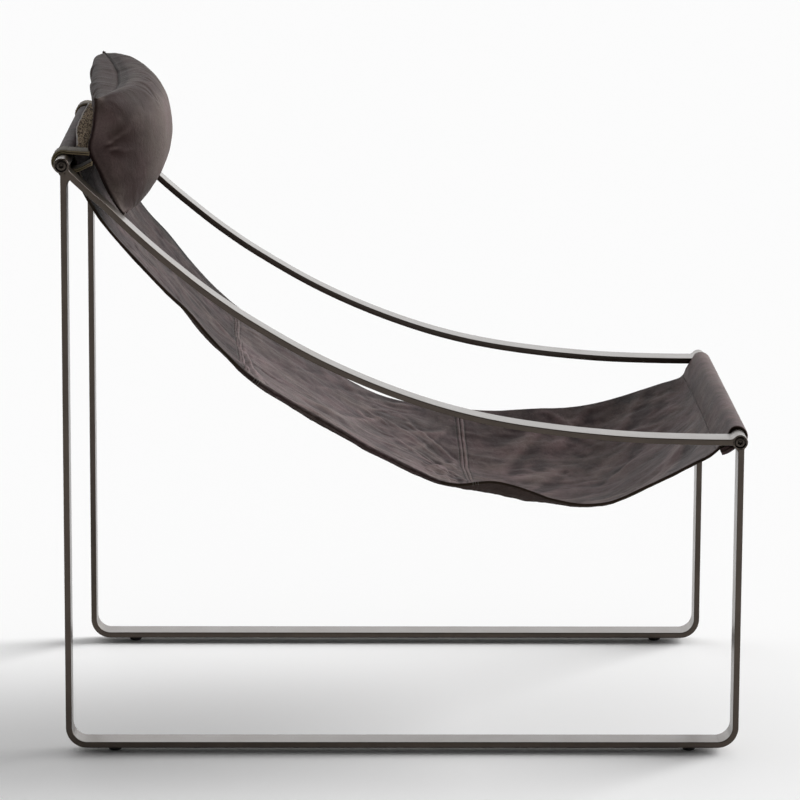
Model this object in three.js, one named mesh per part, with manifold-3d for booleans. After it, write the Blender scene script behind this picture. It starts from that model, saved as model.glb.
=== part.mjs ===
// Leather sling lounge chair, millimetres, +Z up.
// Origin: middle of the footprint, on the floor. The chair's front faces -Y,
// the sitter's right is -X. Two flat-bar side frames are joined by two cross
// tubes; a leather sling hangs between the tubes and a headrest pillow hangs
// from the rear tube on two strap loops, which lets it flip over backwards.
import * as THREE from "three";
import { mergeVertices } from "three/addons/utils/BufferGeometryUtils.js";
import Module from "manifold-3d";

const wasm = await Module();
wasm.setup();

// ---------------------------------------------------------------- dimensions
const WIDTH = 636;            // over the outer faces of the side frames
const BAR_W = 40;             // flat bar, width (along X)
const BAR_T = 8;              // flat bar, thickness
const REAR_FACE_Y = 442.5;    // rear uprights' outer face
const FRONT_FACE_Y = -447.5;  // front uprights' outer face
const RUNNER_Z = 7;           // underside of the bottom runner
const CORNER_R = 28;          // outer radius of the bar's lower bends
const REAR_AXIS = [441.0, 781.9];    // rear cross tube axis (Y, Z)
const FRONT_AXIS = [-442.0, 420.2];  // front cross tube axis (Y, Z)
const BOSS_R = 10;
const BOSS_BORE_R = 4.3;
const COUNTERBORE_R = 7.5;
const COUNTERBORE_DEPTH = 9.5;
const TUBE_R = 10;
const TUBE_BORE_R = 8.5;
const INSERT_R = 8.2;
const INSERT_LEN = 26;
const SCREW_HEAD_R = 6.5;
const SCREW_HEAD_H = 8;
const SCREW_SHANK_R = 4;
const SCREW_LEN = 52;
const HEX_AF = 6;
const GLIDE_R = 9;
const GLIDE_H = 6.7;
const GLIDE_INSET = 64;       // glide centre from the runner's end
const GAP = 0.3;              // air left between touching pieces

const SLING_HALF = 275;       // half of the sling's width
const SLEEVE_HALF = 232.5;    // half of the upper sleeve's width
const LEATHER_T = 2.6;
const REAR_WRAP_R = 12.0;     // middle of the leather round the rear tube
const FRONT_WRAP_R = 13.2;    // the same, round the front tube (a loose sleeve)

const PILLOW_HALF = 274;
const PANEL_T = 1.6;          // pillow leather
const PILLOW_MIDDLE = [374, 800];   // (Y, Z)
const STRAP_W = 44;
const STRAP_T = 5;            // two layers
const STRAP_IN_R = 10.5;

// Arm rail: upper face of the flat bar seen from the side (Y, Z), rear to front
const RAIL_TOP = [
  [437.2, 781.6], [429.4, 773.8], [421.6, 766], [409, 754.4], [396.9, 743.4], [383.8, 732.3],
  [366.1, 715.2], [340.5, 691.2], [314.8, 668.4], [289.1, 647.2], [263.3, 626.6],
  [237.5, 607.6], [211.6, 589.8], [185.7, 573.6], [159.8, 558.1], [133.8, 543.3],
  [107.8, 529.6], [81.8, 517.1], [55.8, 505.5], [29.7, 494.7], [3.6, 484.8],
  [-22.5, 475.7], [-48.6, 467.4], [-74.7, 460.2], [-100.8, 453.8], [-127, 448.4],
  [-153.1, 443.8], [-179.3, 439.9], [-205.5, 436.5], [-231.6, 433.5], [-257.8, 431],
  [-284, 428.8], [-310.1, 427.1], [-336.3, 426], [-362.5, 425.2], [-401.7, 424.4], [-440, 424.2],
];

// Sling edges (middle of the hem) seen from the side, rear tube to front tube
const EDGE_RIGHT = [
  [429.9, 786.4], [424.2, 768], [416, 748.5], [405, 727.5], [391.8, 706.5], [376.2, 686.4], [360.8, 669.1],
  [344.7, 651.7], [328.2, 633.8], [313.1, 617.7], [299.1, 603.8], [286.1, 590.4], [274, 576.5], [261.6, 561],
  [248.4, 546.2], [235.5, 533.5], [223.5, 522.6], [211.8, 511.3], [199.6, 500.8], [186.8, 491.4], [173.5, 483],
  [159.9, 474.7], [133, 458.5], [105.4, 442.7], [75.5, 425.2], [44.8, 406.5], [10.5, 389.3],
  [-24.2, 371.9], [-38.4, 364.8], [-51.7, 359.4], [-65.1, 356.2], [-78.1, 355.2], [-91.4, 356.3],
  [-105.6, 358.4], [-119.3, 359], [-132.3, 357.4], [-145.8, 354.1], [-162, 349], [-180.2, 342.2],
  [-195.8, 336.2], [-209.8, 333], [-225.1, 330], [-241.1, 328.3], [-257.1, 328.7], [-273.3, 331],
  [-289.4, 336.5], [-321.4, 351.7], [-353.3, 367.3], [-385, 383.8], [-404, 393.6], [-416, 403],
  [-425, 415], [-434.4, 431],
];
const EDGE_LEFT = [
  [429.9, 786.4], [423, 767], [413, 740], [400.5, 714], [387.5, 688], [372.5, 660], [355.5, 636.5],
  [327, 605.5], [298.5, 569.5], [269.5, 536.5], [240.5, 509], [197.5, 475], [147.5, 441],
  [97.5, 409.5], [50, 382], [24, 370.3], [-6.5, 361.4], [-60, 352.8], [-122.5, 347.3],
  [-151.5, 346.8], [-180.5, 348.6], [-209.5, 350.2], [-238.5, 350.8], [-267.5, 353.8],
  [-296.5, 359.4], [-325.5, 367.4], [-354.5, 376.9], [-383.5, 386.6], [-404, 392.8],
  [-412.5, 396], [-418, 401.5], [-422, 411], [-434.4, 431],
];
const SEAM_1_Y = [187.5, 227];     // rear seam, on the right and left edges
const SEAM_2_Y = [-101, -92.5];    // seat seam, on the right and left edges
// how far the sling's middle hangs below its edges, by station along it
const SAG_TABLE = [[0, 0], [0.05, 0.8], [0.11, 2.5], [0.25, 8], [0.4, 13], [0.6, 17], [0.8, 19], [1, 20], [1.4, 21], [1.7, 23], [1.83, 28.5], [1.93, 43.5], [1.965, 49.5], [2.01, 53.5], [2.09, 55.5], [2.165, 54.5], [2.225, 52], [2.31, 48.5], [2.38, 46.5], [2.52, 44.5], [2.62, 37], [2.75, 27], [2.85, 15], [2.9, 6.5], [2.935, 1.2], [2.955, 0], [3, 0]];

// ------------------------------------------------------------------ helpers
const V2 = (p) => new THREE.Vector2(p[0], p[1]);
const YZ_TO_WORLD = new THREE.Matrix4().makeBasis(
  new THREE.Vector3(0, 1, 0), new THREE.Vector3(0, 0, 1), new THREE.Vector3(1, 0, 0));

// A side outline (Y, Z points) made x0..x1 wide along X.
function extrudeYZ(points, x0, x1) {
  const shape = new THREE.Shape(points.map(V2));
  const g = new THREE.ExtrudeGeometry(shape, { depth: x1 - x0, bevelEnabled: false, steps: 1 });
  g.applyMatrix4(YZ_TO_WORLD);
  g.translate(x0, 0, 0);
  return g;
}

// A turned piece about the X axis from [axial, radius] points.
function turned(points, segments = 24) {
  const way = points.reduce((sum, p, i) => {
    const q = points[(i + 1) % points.length];
    return sum + p[0] * q[1] - q[0] * p[1];
  }, 0);
  const profile = way > 0 ? [...points].reverse() : points;   // faces point outwards
  const g = new THREE.LatheGeometry(profile.map(([a, r]) => new THREE.Vector2(r, a)), segments);
  g.rotateZ(-Math.PI / 2);
  return g;
}

function solid(geometry) {
  let g = geometry.clone();
  g.deleteAttribute("normal");
  g.deleteAttribute("uv");
  g = mergeVertices(g, 1e-4);
  const pos = g.getAttribute("position").array;
  const idx = [];
  const src = g.index.array;
  for (let i = 0; i < src.length; i += 3) {
    const [a, b, c] = [src[i], src[i + 1], src[i + 2]];
    if (a !== b && b !== c && c !== a) idx.push(a, b, c);
  }
  return new wasm.Manifold(new wasm.Mesh({
    numProp: 3, vertProperties: new Float32Array(pos), triVerts: new Uint32Array(idx),
  }));
}

function shell(manifold) {
  const mesh = manifold.getMesh();
  const g = new THREE.BufferGeometry();
  const v = new Float32Array(mesh.numVert * 3);
  for (let i = 0; i < mesh.numVert; i++)
    for (let k = 0; k < 3; k++) v[i * 3 + k] = mesh.vertProperties[i * mesh.numProp + k];
  g.setAttribute("position", new THREE.BufferAttribute(v, 3));
  g.setIndex([...mesh.triVerts]);
  g.computeVertexNormals();
  return g;
}

// A closed body between two grids of points, first[i][j] on the outside
// (to the left of i x j) and second[i][j] on the inside.
function sheet(first, second) {
  const n = first.length, m = first[0].length;
  const verts = [], index = [];
  for (const grid of [first, second])
    for (let i = 0; i < n; i++) for (let j = 0; j < m; j++) verts.push(...grid[i][j]);
  const a = (i, j) => i * m + j, b = (i, j) => n * m + i * m + j;
  const quad = (p, q, r, s) => index.push(p, q, r, p, r, s);
  for (let i = 0; i + 1 < n; i++)
    for (let j = 0; j + 1 < m; j++) {
      quad(a(i, j), a(i + 1, j), a(i + 1, j + 1), a(i, j + 1));
      quad(b(i, j), b(i, j + 1), b(i + 1, j + 1), b(i + 1, j));
    }
  for (let i = 0; i + 1 < n; i++) {
    quad(a(i, 0), b(i, 0), b(i + 1, 0), a(i + 1, 0));
    quad(a(i, m - 1), a(i + 1, m - 1), b(i + 1, m - 1), b(i, m - 1));
  }
  for (let j = 0; j + 1 < m; j++) {
    quad(a(0, j), a(0, j + 1), b(0, j + 1), b(0, j));
    quad(a(n - 1, j), b(n - 1, j), b(n - 1, j + 1), a(n - 1, j + 1));
  }
  const g = new THREE.BufferGeometry();
  g.setAttribute("position", new THREE.Float32BufferAttribute(verts, 3));
  g.setIndex(index);
  g.computeVertexNormals();
  return g;
}

function arc(cy, cz, r, from, to, steps) {
  const out = [];
  for (let i = 0; i <= steps; i++) {
    const t = THREE.MathUtils.degToRad(from + (to - from) * i / steps);
    out.push([cy + r * Math.cos(t), cz + r * Math.sin(t)]);
  }
  return out;
}

// Smooth polyline through control points, cut into equal lengths.
function smooth(points, steps) {
  const c = new THREE.CatmullRomCurve3(points.map((p) => new THREE.Vector3(p[0], p[1], 0)), false, "centripetal");
  c.arcLengthDivisions = 600;
  return c.getSpacedPoints(steps).map((p) => [p.x, p.y]);
}

// Point of a dense polyline at a fraction of its length.
function along(poly, f) {
  const x = f * (poly.length - 1), i = Math.min(poly.length - 2, Math.floor(x)), t = x - i;
  return [poly[i][0] * (1 - t) + poly[i + 1][0] * t, poly[i][1] * (1 - t) + poly[i + 1][1] * t];
}

const paint = (color, roughness, metalness) => new THREE.MeshStandardMaterial({ color, roughness, metalness });
const BRONZE = [0x4b443c, 0.38, 0.85];
const BLACK_STEEL = [0x141414, 0.35, 0.9];
const ZINC = [0x8f8f8a, 0.45, 0.9];
const NYLON = [0x161514, 0.55, 0];
const LEATHER = [0x544a46, 0.62, 0];
const LEATHER_DARK = [0x453d39, 0.66, 0];
const SUEDE = [0x5d4f37, 0.95, 0];
const FILLING = [0xd9d3c4, 0.95, 0];
const ZIP = [0x26221f, 0.6, 0];

function piece(name, geometry, look, parent) {
  const mesh = new THREE.Mesh(geometry, paint(...look));
  mesh.name = name;
  parent.add(mesh);
  return mesh;
}

const chair = new THREE.Group();

// -------------------------------------------------------------- side frames
// Upright - runner - upright, one bar bent twice. The upper ends stop under
// the bosses; a small weld web fills the corner between rear upright and rail.
function barOutline() {
  const ro = CORNER_R, ri = CORNER_R - BAR_T, rearIn = REAR_FACE_Y - BAR_T, frontIn = FRONT_FACE_Y + BAR_T;
  const top = RUNNER_Z + BAR_T;
  return [
    [REAR_FACE_Y, REAR_AXIS[1]],
    ...arc(REAR_FACE_Y - ro, RUNNER_Z + ro, ro, 0, -90, 8),
    ...arc(FRONT_FACE_Y + ro, RUNNER_Z + ro, ro, -90, -180, 8),
    [FRONT_FACE_Y, FRONT_AXIS[1]],
    [frontIn, FRONT_AXIS[1]],
    [frontIn, FRONT_AXIS[1] - 14],
    ...arc(frontIn + ri, top + ri, ri, 180, 270, 8),
    ...arc(rearIn - ri, top + ri, ri, 270, 360, 8),
    [rearIn, 754],
    [rearIn - 1.5, 758], [rearIn - 6, 764.5], [rearIn - 3, 769], [rearIn, 772],
    [rearIn, REAR_AXIS[1]],
  ];
}

// Flat-bar outline from the rail's upper face: offset by the bar's thickness.
function railOutline() {
  const top = smooth(RAIL_TOP, 44);
  const low = top.map((p, i) => {
    const a = top[Math.max(0, i - 1)], b = top[Math.min(top.length - 1, i + 1)];
    const l = Math.hypot(b[0] - a[0], b[1] - a[1]);
    const d = [(b[0] - a[0]) / l, (b[1] - a[1]) / l];
    return [p[0] - d[1] * BAR_T, p[1] + d[0] * BAR_T];   // below and behind
  });
  return [...top, ...low.reverse()];
}

function disc(axis, r, x0, x1, segments = 32) {
  return solid(turned([[x0, 0], [x0, r], [x1, r], [x1, 0]], segments).translate(0, axis[0], axis[1]));
}

const half = BAR_W / 2;
const bosses = disc(REAR_AXIS, BOSS_R + GAP, -half - 1, half + 1)
  .add(disc(FRONT_AXIS, BOSS_R + GAP, -half - 1, half + 1));
const barWhole = solid(extrudeYZ(barOutline(), -half, half));
const barGeometry = shell(barWhole.subtract(bosses));

// the rail is cut back from the bosses, the uprights and the weld web
function widened(points, d) {
  const c = points.length, out = [];
  for (let i = 0; i < c; i++) {
    const p = points[(i + c - 1) % c], q = points[i], r = points[(i + 1) % c];
    const n1 = [q[1] - p[1], p[0] - q[0]], n2 = [r[1] - q[1], q[0] - r[0]];
    const l1 = Math.hypot(...n1), l2 = Math.hypot(...n2);
    const n = [n1[0] / l1 + n2[0] / l2, n1[1] / l1 + n2[1] / l2];
    const k = 1 + (n1[0] * n2[0] + n1[1] * n2[1]) / (l1 * l2);
    out.push([q[0] - n[0] / k * d, q[1] - n[1] / k * d]);
  }
  return out;
}
const barWide = solid(extrudeYZ(widened(barOutline(), GAP), -half - 1, half + 1));
const railGeometry = shell(solid(extrudeYZ(railOutline(), -half, half)).subtract(bosses).subtract(barWide)
  .decompose().sort((a, b) => b.volume() - a.volume())[0]);

const bossProfile = [
  [half, BOSS_BORE_R], [half, BOSS_R - 0.8], [half - 0.8, BOSS_R], [-half + 0.8, BOSS_R], [-half, BOSS_R - 0.8],
  [-half, COUNTERBORE_R], [-half + COUNTERBORE_DEPTH, COUNTERBORE_R], [-half + COUNTERBORE_DEPTH, BOSS_BORE_R],
  [half, BOSS_BORE_R],
];
const bossGeometry = shell(solid(turned(bossProfile, 24)));

// socket cap screw, head outwards (towards -X), hexagon socket
function screwGeometry() {
  const x0 = -half + COUNTERBORE_DEPTH - GAP - SCREW_HEAD_H;
  const body = solid(turned([
    [x0, 0], [x0, SCREW_HEAD_R - 0.6], [x0 + 0.6, SCREW_HEAD_R], [x0 + SCREW_HEAD_H, SCREW_HEAD_R],
    [x0 + SCREW_HEAD_H, SCREW_SHANK_R], [x0 + SCREW_HEAD_H + SCREW_LEN - 0.8, SCREW_SHANK_R],
    [x0 + SCREW_HEAD_H + SCREW_LEN, SCREW_SHANK_R - 0.8], [x0 + SCREW_HEAD_H + SCREW_LEN, 0],
  ], 24));
  const socket = solid(turned([[x0 - 1, 0], [x0 - 1, HEX_AF / Math.sqrt(3)],
    [x0 + 4.5, HEX_AF / Math.sqrt(3)], [x0 + 4.5, 0]], 6));
  return shell(body.subtract(socket));
}
const screwMesh = screwGeometry();
const insertGeometry = shell(solid(turned([
  [0, BOSS_BORE_R], [0, INSERT_R], [INSERT_LEN, INSERT_R], [INSERT_LEN, BOSS_BORE_R], [0, BOSS_BORE_R]], 24)));
const glideGeometry = (() => {
  const g = new THREE.LatheGeometry([
    [0, 0], [GLIDE_R - 2, 0], [GLIDE_R - 0.8, 1.2], [GLIDE_R, GLIDE_H], [0, GLIDE_H],
  ].map(V2), 24);
  g.rotateX(Math.PI / 2);
  return shell(solid(g));
})();

for (const side of ["right", "left"]) {
  const frame = new THREE.Group();
  frame.position.x = side === "right" ? -(WIDTH - BAR_W) / 2 : (WIDTH - BAR_W) / 2;
  chair.add(frame);
  piece(`side_bar_${side}`, barGeometry, BRONZE, frame);
  piece(`arm_rail_${side}`, railGeometry, BRONZE, frame);
  for (const [end, axis] of [["rear", REAR_AXIS], ["front", FRONT_AXIS]]) {
    const joint = new THREE.Group();
    joint.position.set(0, axis[0], axis[1]);
    if (side === "left") joint.rotation.z = Math.PI;
    frame.add(joint);
    piece(`boss_${end}_${side}`, bossGeometry, BRONZE, joint);
    piece(`cap_screw_${end}_${side}`, screwMesh, BLACK_STEEL, joint);
    piece(`tube_insert_${end}_${side}`, insertGeometry, ZINC, joint).position.x = half + 2 * GAP;
  }
  for (const [end, y] of [["rear", REAR_FACE_Y - GLIDE_INSET], ["front", FRONT_FACE_Y + GLIDE_INSET]])
    piece(`glide_${end}_${side}`, glideGeometry, NYLON, frame).position.y = y;
}

// -------------------------------------------------------------- cross tubes
const tubeHalf = WIDTH / 2 - BAR_W - GAP;
const tubeGeometry = shell(solid(turned([
  [-tubeHalf, TUBE_BORE_R], [-tubeHalf, TUBE_R], [tubeHalf, TUBE_R], [tubeHalf, TUBE_BORE_R], [-tubeHalf, TUBE_BORE_R],
], 24)));
piece("cross_tube_rear", tubeGeometry, BRONZE, chair).position.set(0, REAR_AXIS[0], REAR_AXIS[1]);
piece("cross_tube_front", tubeGeometry, BRONZE, chair).position.set(0, FRONT_AXIS[0], FRONT_AXIS[1]);

// -------------------------------------------------------------------- sling
// column k of a table of rows that begin with a position s
function table(rows, s, k) {
  for (let i = 0; i + 1 < rows.length; i++)
    if (s <= rows[i + 1][0]) {
      const t = (s - rows[i][0]) / (rows[i + 1][0] - rows[i][0]);
      return rows[i][k] * (1 - t) + rows[i + 1][k] * t;
    }
  return rows[rows.length - 1][k];
}

// Both edges are cut at the two seams, so that row k of one panel joins the
// same places on the right and left edges.
function splitAtY(poly, ys) {
  const cuts = ys.map((y) => {
    for (let i = 0; i + 1 < poly.length; i++)
      if (poly[i][0] >= y && poly[i + 1][0] < y)
        return (i + (poly[i][0] - y) / (poly[i][0] - poly[i + 1][0])) / (poly.length - 1);
    return 0;
  });
  return [0, ...cuts, 1];
}
const right = smooth(EDGE_RIGHT, 500), left = smooth(EDGE_LEFT, 500);
const cutR = splitAtY(right, [SEAM_1_Y[0], SEAM_2_Y[0]]), cutL = splitAtY(left, [SEAM_1_Y[1], SEAM_2_Y[1]]);

// station v: 0..1 back panel, 1..2 middle panel, 2..3 seat panel
function edgePoint(poly, cuts, v) {
  const k = Math.min(2, Math.floor(v)), t = v - k;
  return along(poly, cuts[k] * (1 - t) + cuts[k + 1] * t);
}
function sagAt(v) {
  let sum = 0;
  for (const k of [-2, -1, 0, 1, 2]) sum += table(SAG_TABLE, Math.min(3, Math.max(0, v + 0.02 * k)), 1);
  return sum / 5;
}
function slingPoint(x, v, behind = 0) {
  const f = (x + SLING_HALF) / (2 * SLING_HALF);
  const mid = (t) => {
    const a = edgePoint(right, cutR, t), b = edgePoint(left, cutL, t);
    return [a[0] * (1 - f) + b[0] * f, a[1] * (1 - f) + b[1] * f];
  };
  const p = mid(v), q0 = mid(Math.max(0, v - 0.04)), q1 = mid(Math.min(3, v + 0.04));
  const l = Math.hypot(q1[0] - q0[0], q1[1] - q0[1]);
  const down = [-(q1[1] - q0[1]) / l, (q1[0] - q0[0]) / l];      // below and behind the sheet
  const s = sagAt(v) * 4 * f * (1 - f) + behind;
  return [x, p[0] + down[0] * s, p[1] + down[1] * s];
}

const COLS = 10;
// Sheet of leather from rows of middle points: row(k, x) gives [x, y, z].
function leatherFromRows(rows) {
  const grid = rows.map((r) => {
    const out = [];
    for (let j = 0; j <= COLS; j++) out.push(r.at(-r.half + 2 * r.half * j / COLS));
    return out;
  });
  const n = grid.length, m = COLS + 1, up = [], low = [];
  for (let i = 0; i < n; i++) {
    up.push([]); low.push([]);
    for (let j = 0; j < m; j++) {
      const a = grid[Math.max(0, i - 1)][j], b = grid[Math.min(n - 1, i + 1)][j];
      const c = grid[i][Math.max(0, j - 1)], d = grid[i][Math.min(m - 1, j + 1)];
      const u = new THREE.Vector3(b[0] - a[0], b[1] - a[1], b[2] - a[2]);
      const w = new THREE.Vector3(d[0] - c[0], d[1] - c[1], d[2] - c[2]);
      u.x = 0;                                               // a change of width isn't a slope
      const nrm = u.cross(w).normalize().multiplyScalar(LEATHER_T / 2);
      const p = grid[i][j];
      up[i].push([p[0] + nrm.x, p[1] + nrm.y, p[2] + nrm.z]);
      low[i].push([p[0] - nrm.x, p[1] - nrm.y, p[2] - nrm.z]);
    }
  }
  return sheet(up, low);
}
const flat = (p, halfWidth) => ({ half: halfWidth, at: (x) => [x, p[0], p[1]] });
const hung = (v, halfWidth = SLING_HALF) => ({ half: halfWidth, at: (x) => slingPoint(x, v) });

// upper sleeve: from the flap's free edge behind the sling, up round the tube
// from its underside over the top and down its front
function rearRows() {
  const [cy, cz] = REAR_AXIS, r = REAR_WRAP_R;
  const flap = [0.118, 0.095, 0.072, 0.05].map((v) => ({ half: SLEEVE_HALF, at: (x) => slingPoint(x, v, 4.2) }));
  flap.push(flat([438.5, 767.4], SLEEVE_HALF));
  const wrap = arc(cy, cz, r, -45, 150, 10).map((p) => flat(p, SLEEVE_HALF));
  return [...flap, ...wrap];
}
const backRows = [...rearRows()];
const SHOULDER_V = 0.11;
for (const v of [0.035, 0.075, SHOULDER_V]) backRows.push(hung(v, SLEEVE_HALF));
backRows.push(hung(SHOULDER_V + 0.012));
for (let k = 1; k <= 11; k++) backRows.push(hung(SHOULDER_V + 0.012 + (0.9994 - SHOULDER_V - 0.012) * k / 11));
piece("sling_back_panel", leatherFromRows(backRows), LEATHER, chair);

const middleRows = [];
for (let k = 0; k <= 10; k++) middleRows.push(hung(1.0006 + 0.9988 * k / 10));
piece("sling_middle_panel", leatherFromRows(middleRows), LEATHER, chair);

// front sleeve: over the tube, down its front and back underneath, its free
// edge rolled up under the stitch line
const seatRows = [];
for (let k = 0; k <= 12; k++) seatRows.push(hung(2.0006 + 0.985 * k / 12));
{
  const [cy, cz] = FRONT_AXIS, r = FRONT_WRAP_R;
  const wrap = arc(cy, cz, r, 50, 268, 10).map((p) => flat(p, SLING_HALF));
  const flap = smooth([[-442.3, 406.9], [-435.5, 401.6], [-428, 397.9], [-420.5, 396.1], [-415, 396.6]], 6)
    .slice(1).map((p) => flat(p, SLING_HALF));
  seatRows.push(...wrap, ...flap);
}
piece("sling_seat_panel", leatherFromRows(seatRows), LEATHER, chair);

// rough suede strip on top of the upper sleeve, under the pillow
{
  const rows = smooth([[430.6, 794.4], [424.5, 794.6], [418.5, 791.5], [414.5, 787]], 5)
    .map((p) => flat(p, SLEEVE_HALF - 2));
  piece("headrest_grip_strip", leatherFromRows(rows), SUEDE, chair);
}

// ----------------------------------------------------------------- headrest
// The pillow's seam runs round its outline; s runs along X, t from the bottom
// seam (0) to the top seam (1). Front and back bulge out of the seam surface.
// Seam rows: s, y, z. Bulge rows: t, how far, direction above horizontal.
const PILLOW_BOTTOM = [[-1, 363, 712], [-0.72, 355, 711], [-0.45, 350, 716], [0, 347.5, 718], [0.5, 352, 717], [1, 364, 712]];
const PILLOW_TOP = [[-1, 398.5, 864], [-0.84, 392.5, 862], [-0.44, 381.5, 857], [-0.15, 380.5, 856], [0.29, 387.5, 857.5], [0.65, 399.5, 862.5], [1, 411, 866]];
const FRONT_BULGE = [[0, 0, -25], [0.03, 8, -20], [0.1, 19, -13], [0.2, 32, -1], [0.3, 42.5, 3.5], [0.4, 49, 8], [0.5, 53.5, 10.5],
  [0.6, 55.5, 13], [0.7, 55, 17], [0.8, 51.5, 20], [0.9, 42, 25], [0.96, 29, 32], [0.99, 13, 45], [1, 0, 50]];
const BACK_BULGE = [[0, 0, -10], [0.03, 5, -5], [0.15, 13, 0], [0.3, 21, 0], [0.45, 28, 0], [0.6, 32, 0], [0.7, 34, 0],
  [0.78, 35.5, 0], [0.84, 37.5, 3], [0.9, 39, 8], [0.95, 34.5, 16], [0.98, 24, 24], [0.99, 15, 27], [1, 0, 30]];
// how the back's bulge varies along X, in its lower and its upper half
const BACK_ALONG_LOW = [[-1, 0.3], [-0.8, 0.5], [-0.5, 0.82], [-0.15, 1.05], [0.2, 1.08], [0.6, 1.03], [1, 1.0]];
const BACK_ALONG_TOP = [[-1, 0], [-0.8, 0.28], [-0.5, 0.74], [-0.15, 1.03], [0.2, 1.05], [0.6, 0.93], [0.8, 0.84], [1, 0.9]];
function pillowSeam(s, t) {
  const bow = (s < 0 ? 19 : 11) * Math.pow(Math.abs(s), 3) * Math.sin(Math.PI * Math.pow(t, 0.85));
  const y = table(PILLOW_BOTTOM, s, 1) * (1 - t) + table(PILLOW_TOP, s, 1) * t + bow;
  const z = table(PILLOW_BOTTOM, s, 2) * (1 - t) + table(PILLOW_TOP, s, 2) * t;
  const pull = 9 * Math.sin(Math.PI * t) * s * Math.pow(Math.abs(s), 4);
  return [PILLOW_HALF * s - pull, y, z];
}
const ends = (s, p) => Math.sqrt(Math.max(0, 1 - Math.pow(Math.abs(s), p)));
const rad = THREE.MathUtils.degToRad;
function pillowFront(s, t, grow) {
  const [x, y, z] = pillowSeam(s, t);
  const a = rad(table(FRONT_BULGE, t, 2)), d = table(FRONT_BULGE, t, 1) * ends(s, 3.6) + grow;
  return [x, y - d * Math.cos(a), z + d * Math.sin(a)];
}
function pillowBack(s, t, grow) {
  const [x, y, z] = pillowSeam(s, t);
  const p = 1.7 + 3.6 * Math.min(1, Math.max(0, (t - 0.5) / 0.3));
  const w = Math.min(1, Math.max(0, (t - 0.5) / 0.22));
  const along = table(BACK_ALONG_LOW, s, 1) * (1 - w) + table(BACK_ALONG_TOP, s, 1) * w;
  const a = rad(table(BACK_BULGE, t, 2)), d = table(BACK_BULGE, t, 1) * ends(s, p) * along + grow;
  return [x, y + d * Math.cos(a), z + d * Math.sin(a)];
}
function pillowGrid(side, grow) {
  const S = 14, T = 12, out = [];
  for (let i = 0; i <= S; i++) {
    const row = [];
    for (let j = 0; j <= T; j++) {
      const s = Math.sin(Math.PI / 2 * (-1 + 2 * i / S));
      const t = 0.5 - 0.5 * Math.cos(Math.PI * j / T);
      row.push(side(s, t, grow));
    }
    out.push(row);
  }
  return out;
}
// front panel: outside grid away from the filling, inside grid PANEL_T within
const pillow = new THREE.Group();
chair.add(pillow);
const RIM = 0.6;   // each panel starts this far off the seam surface
piece("headrest_front_panel", sheet(pillowGrid(pillowFront, RIM + PANEL_T), pillowGrid(pillowFront, RIM)), LEATHER, pillow);
piece("headrest_back_panel", sheet(pillowGrid(pillowBack, RIM), pillowGrid(pillowBack, RIM + PANEL_T)), LEATHER_DARK, pillow);
{
  const stuffing = sheet(pillowGrid(pillowFront, RIM), pillowGrid(pillowBack, RIM));
  const [cy, cz] = PILLOW_MIDDLE;
  stuffing.translate(0, -cy, -cz).scale(0.945, 0.9, 0.9).translate(0, cy, cz);
  const covers = solid(sheet(pillowGrid(pillowFront, RIM + PANEL_T), pillowGrid(pillowFront, RIM - 0.8)))
    .add(solid(sheet(pillowGrid(pillowBack, RIM - 0.8), pillowGrid(pillowBack, RIM + PANEL_T))));
  const parts = solid(stuffing).subtract(covers).decompose().sort((p, q) => q.volume() - p.volume());
  piece("headrest_filling", shell(parts[0]), FILLING, pillow);
}

// room the stitched-up pillow takes; what is sewn on it stops short of it
const pillowKeepout = solid(sheet(pillowGrid(pillowFront, RIM + PANEL_T + 0.35), pillowGrid(pillowBack, RIM + PANEL_T + 0.35)));

// closing zip on the back panel, just above the bottom seam
{
  const out = [], inn = [];
  for (let i = 0; i <= 8; i++) {
    const s = -0.62 + 1.24 * i / 8, a = [], b = [];
    for (const t of [0.055, 0.095, 0.135]) { a.push(pillowBack(s, t, RIM + PANEL_T + 0.35)); b.push(pillowBack(s, t, RIM + PANEL_T + 2.4)); }
    out.push(a); inn.push(b);
  }
  const parts = solid(sheet(out, inn)).subtract(pillowKeepout).decompose().sort((p, q) => q.volume() - p.volume());
  piece("headrest_zip", shell(parts[0]), ZIP, pillow);
}

// strap loops: round the bare tube, both tails sewn to the pillow's back
function strapOutline() {
  const [cy, cz] = REAR_AXIS, ri = STRAP_IN_R, ro = STRAP_IN_R + STRAP_T;
  return [
    ...arc(cy, cz, ro, 104, -96, 22),
    [424.5, 768.2], [402.6, 770.2], [402.6, 775.4], [424.5, 773.4],
    ...arc(cy, cz, ri, -104, 112, 20),
    [424.5, 789.2], [402.6, 786.4], [402.6, 791.6], [424.5, 794.6],
  ];
}
for (const side of ["right", "left"]) {
  const inner = SLEEVE_HALF + 0.7, sign = side === "right" ? -1 : 1;
  const x = [sign * inner, sign * (inner + STRAP_W)].sort((a, b) => a - b);
  const strap = solid(extrudeYZ(strapOutline(), x[0], x[1])).subtract(pillowKeepout)
    .decompose().sort((a, b) => b.volume() - a.volume())[0];
  piece(`strap_loop_${side}`, shell(strap), LEATHER, pillow);
}

export default chair;
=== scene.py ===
import math

import bpy
import numpy as np
from mathutils import Matrix, Vector
from mathutils.bvhtree import BVHTree
from mathutils.kdtree import KDTree


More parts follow.
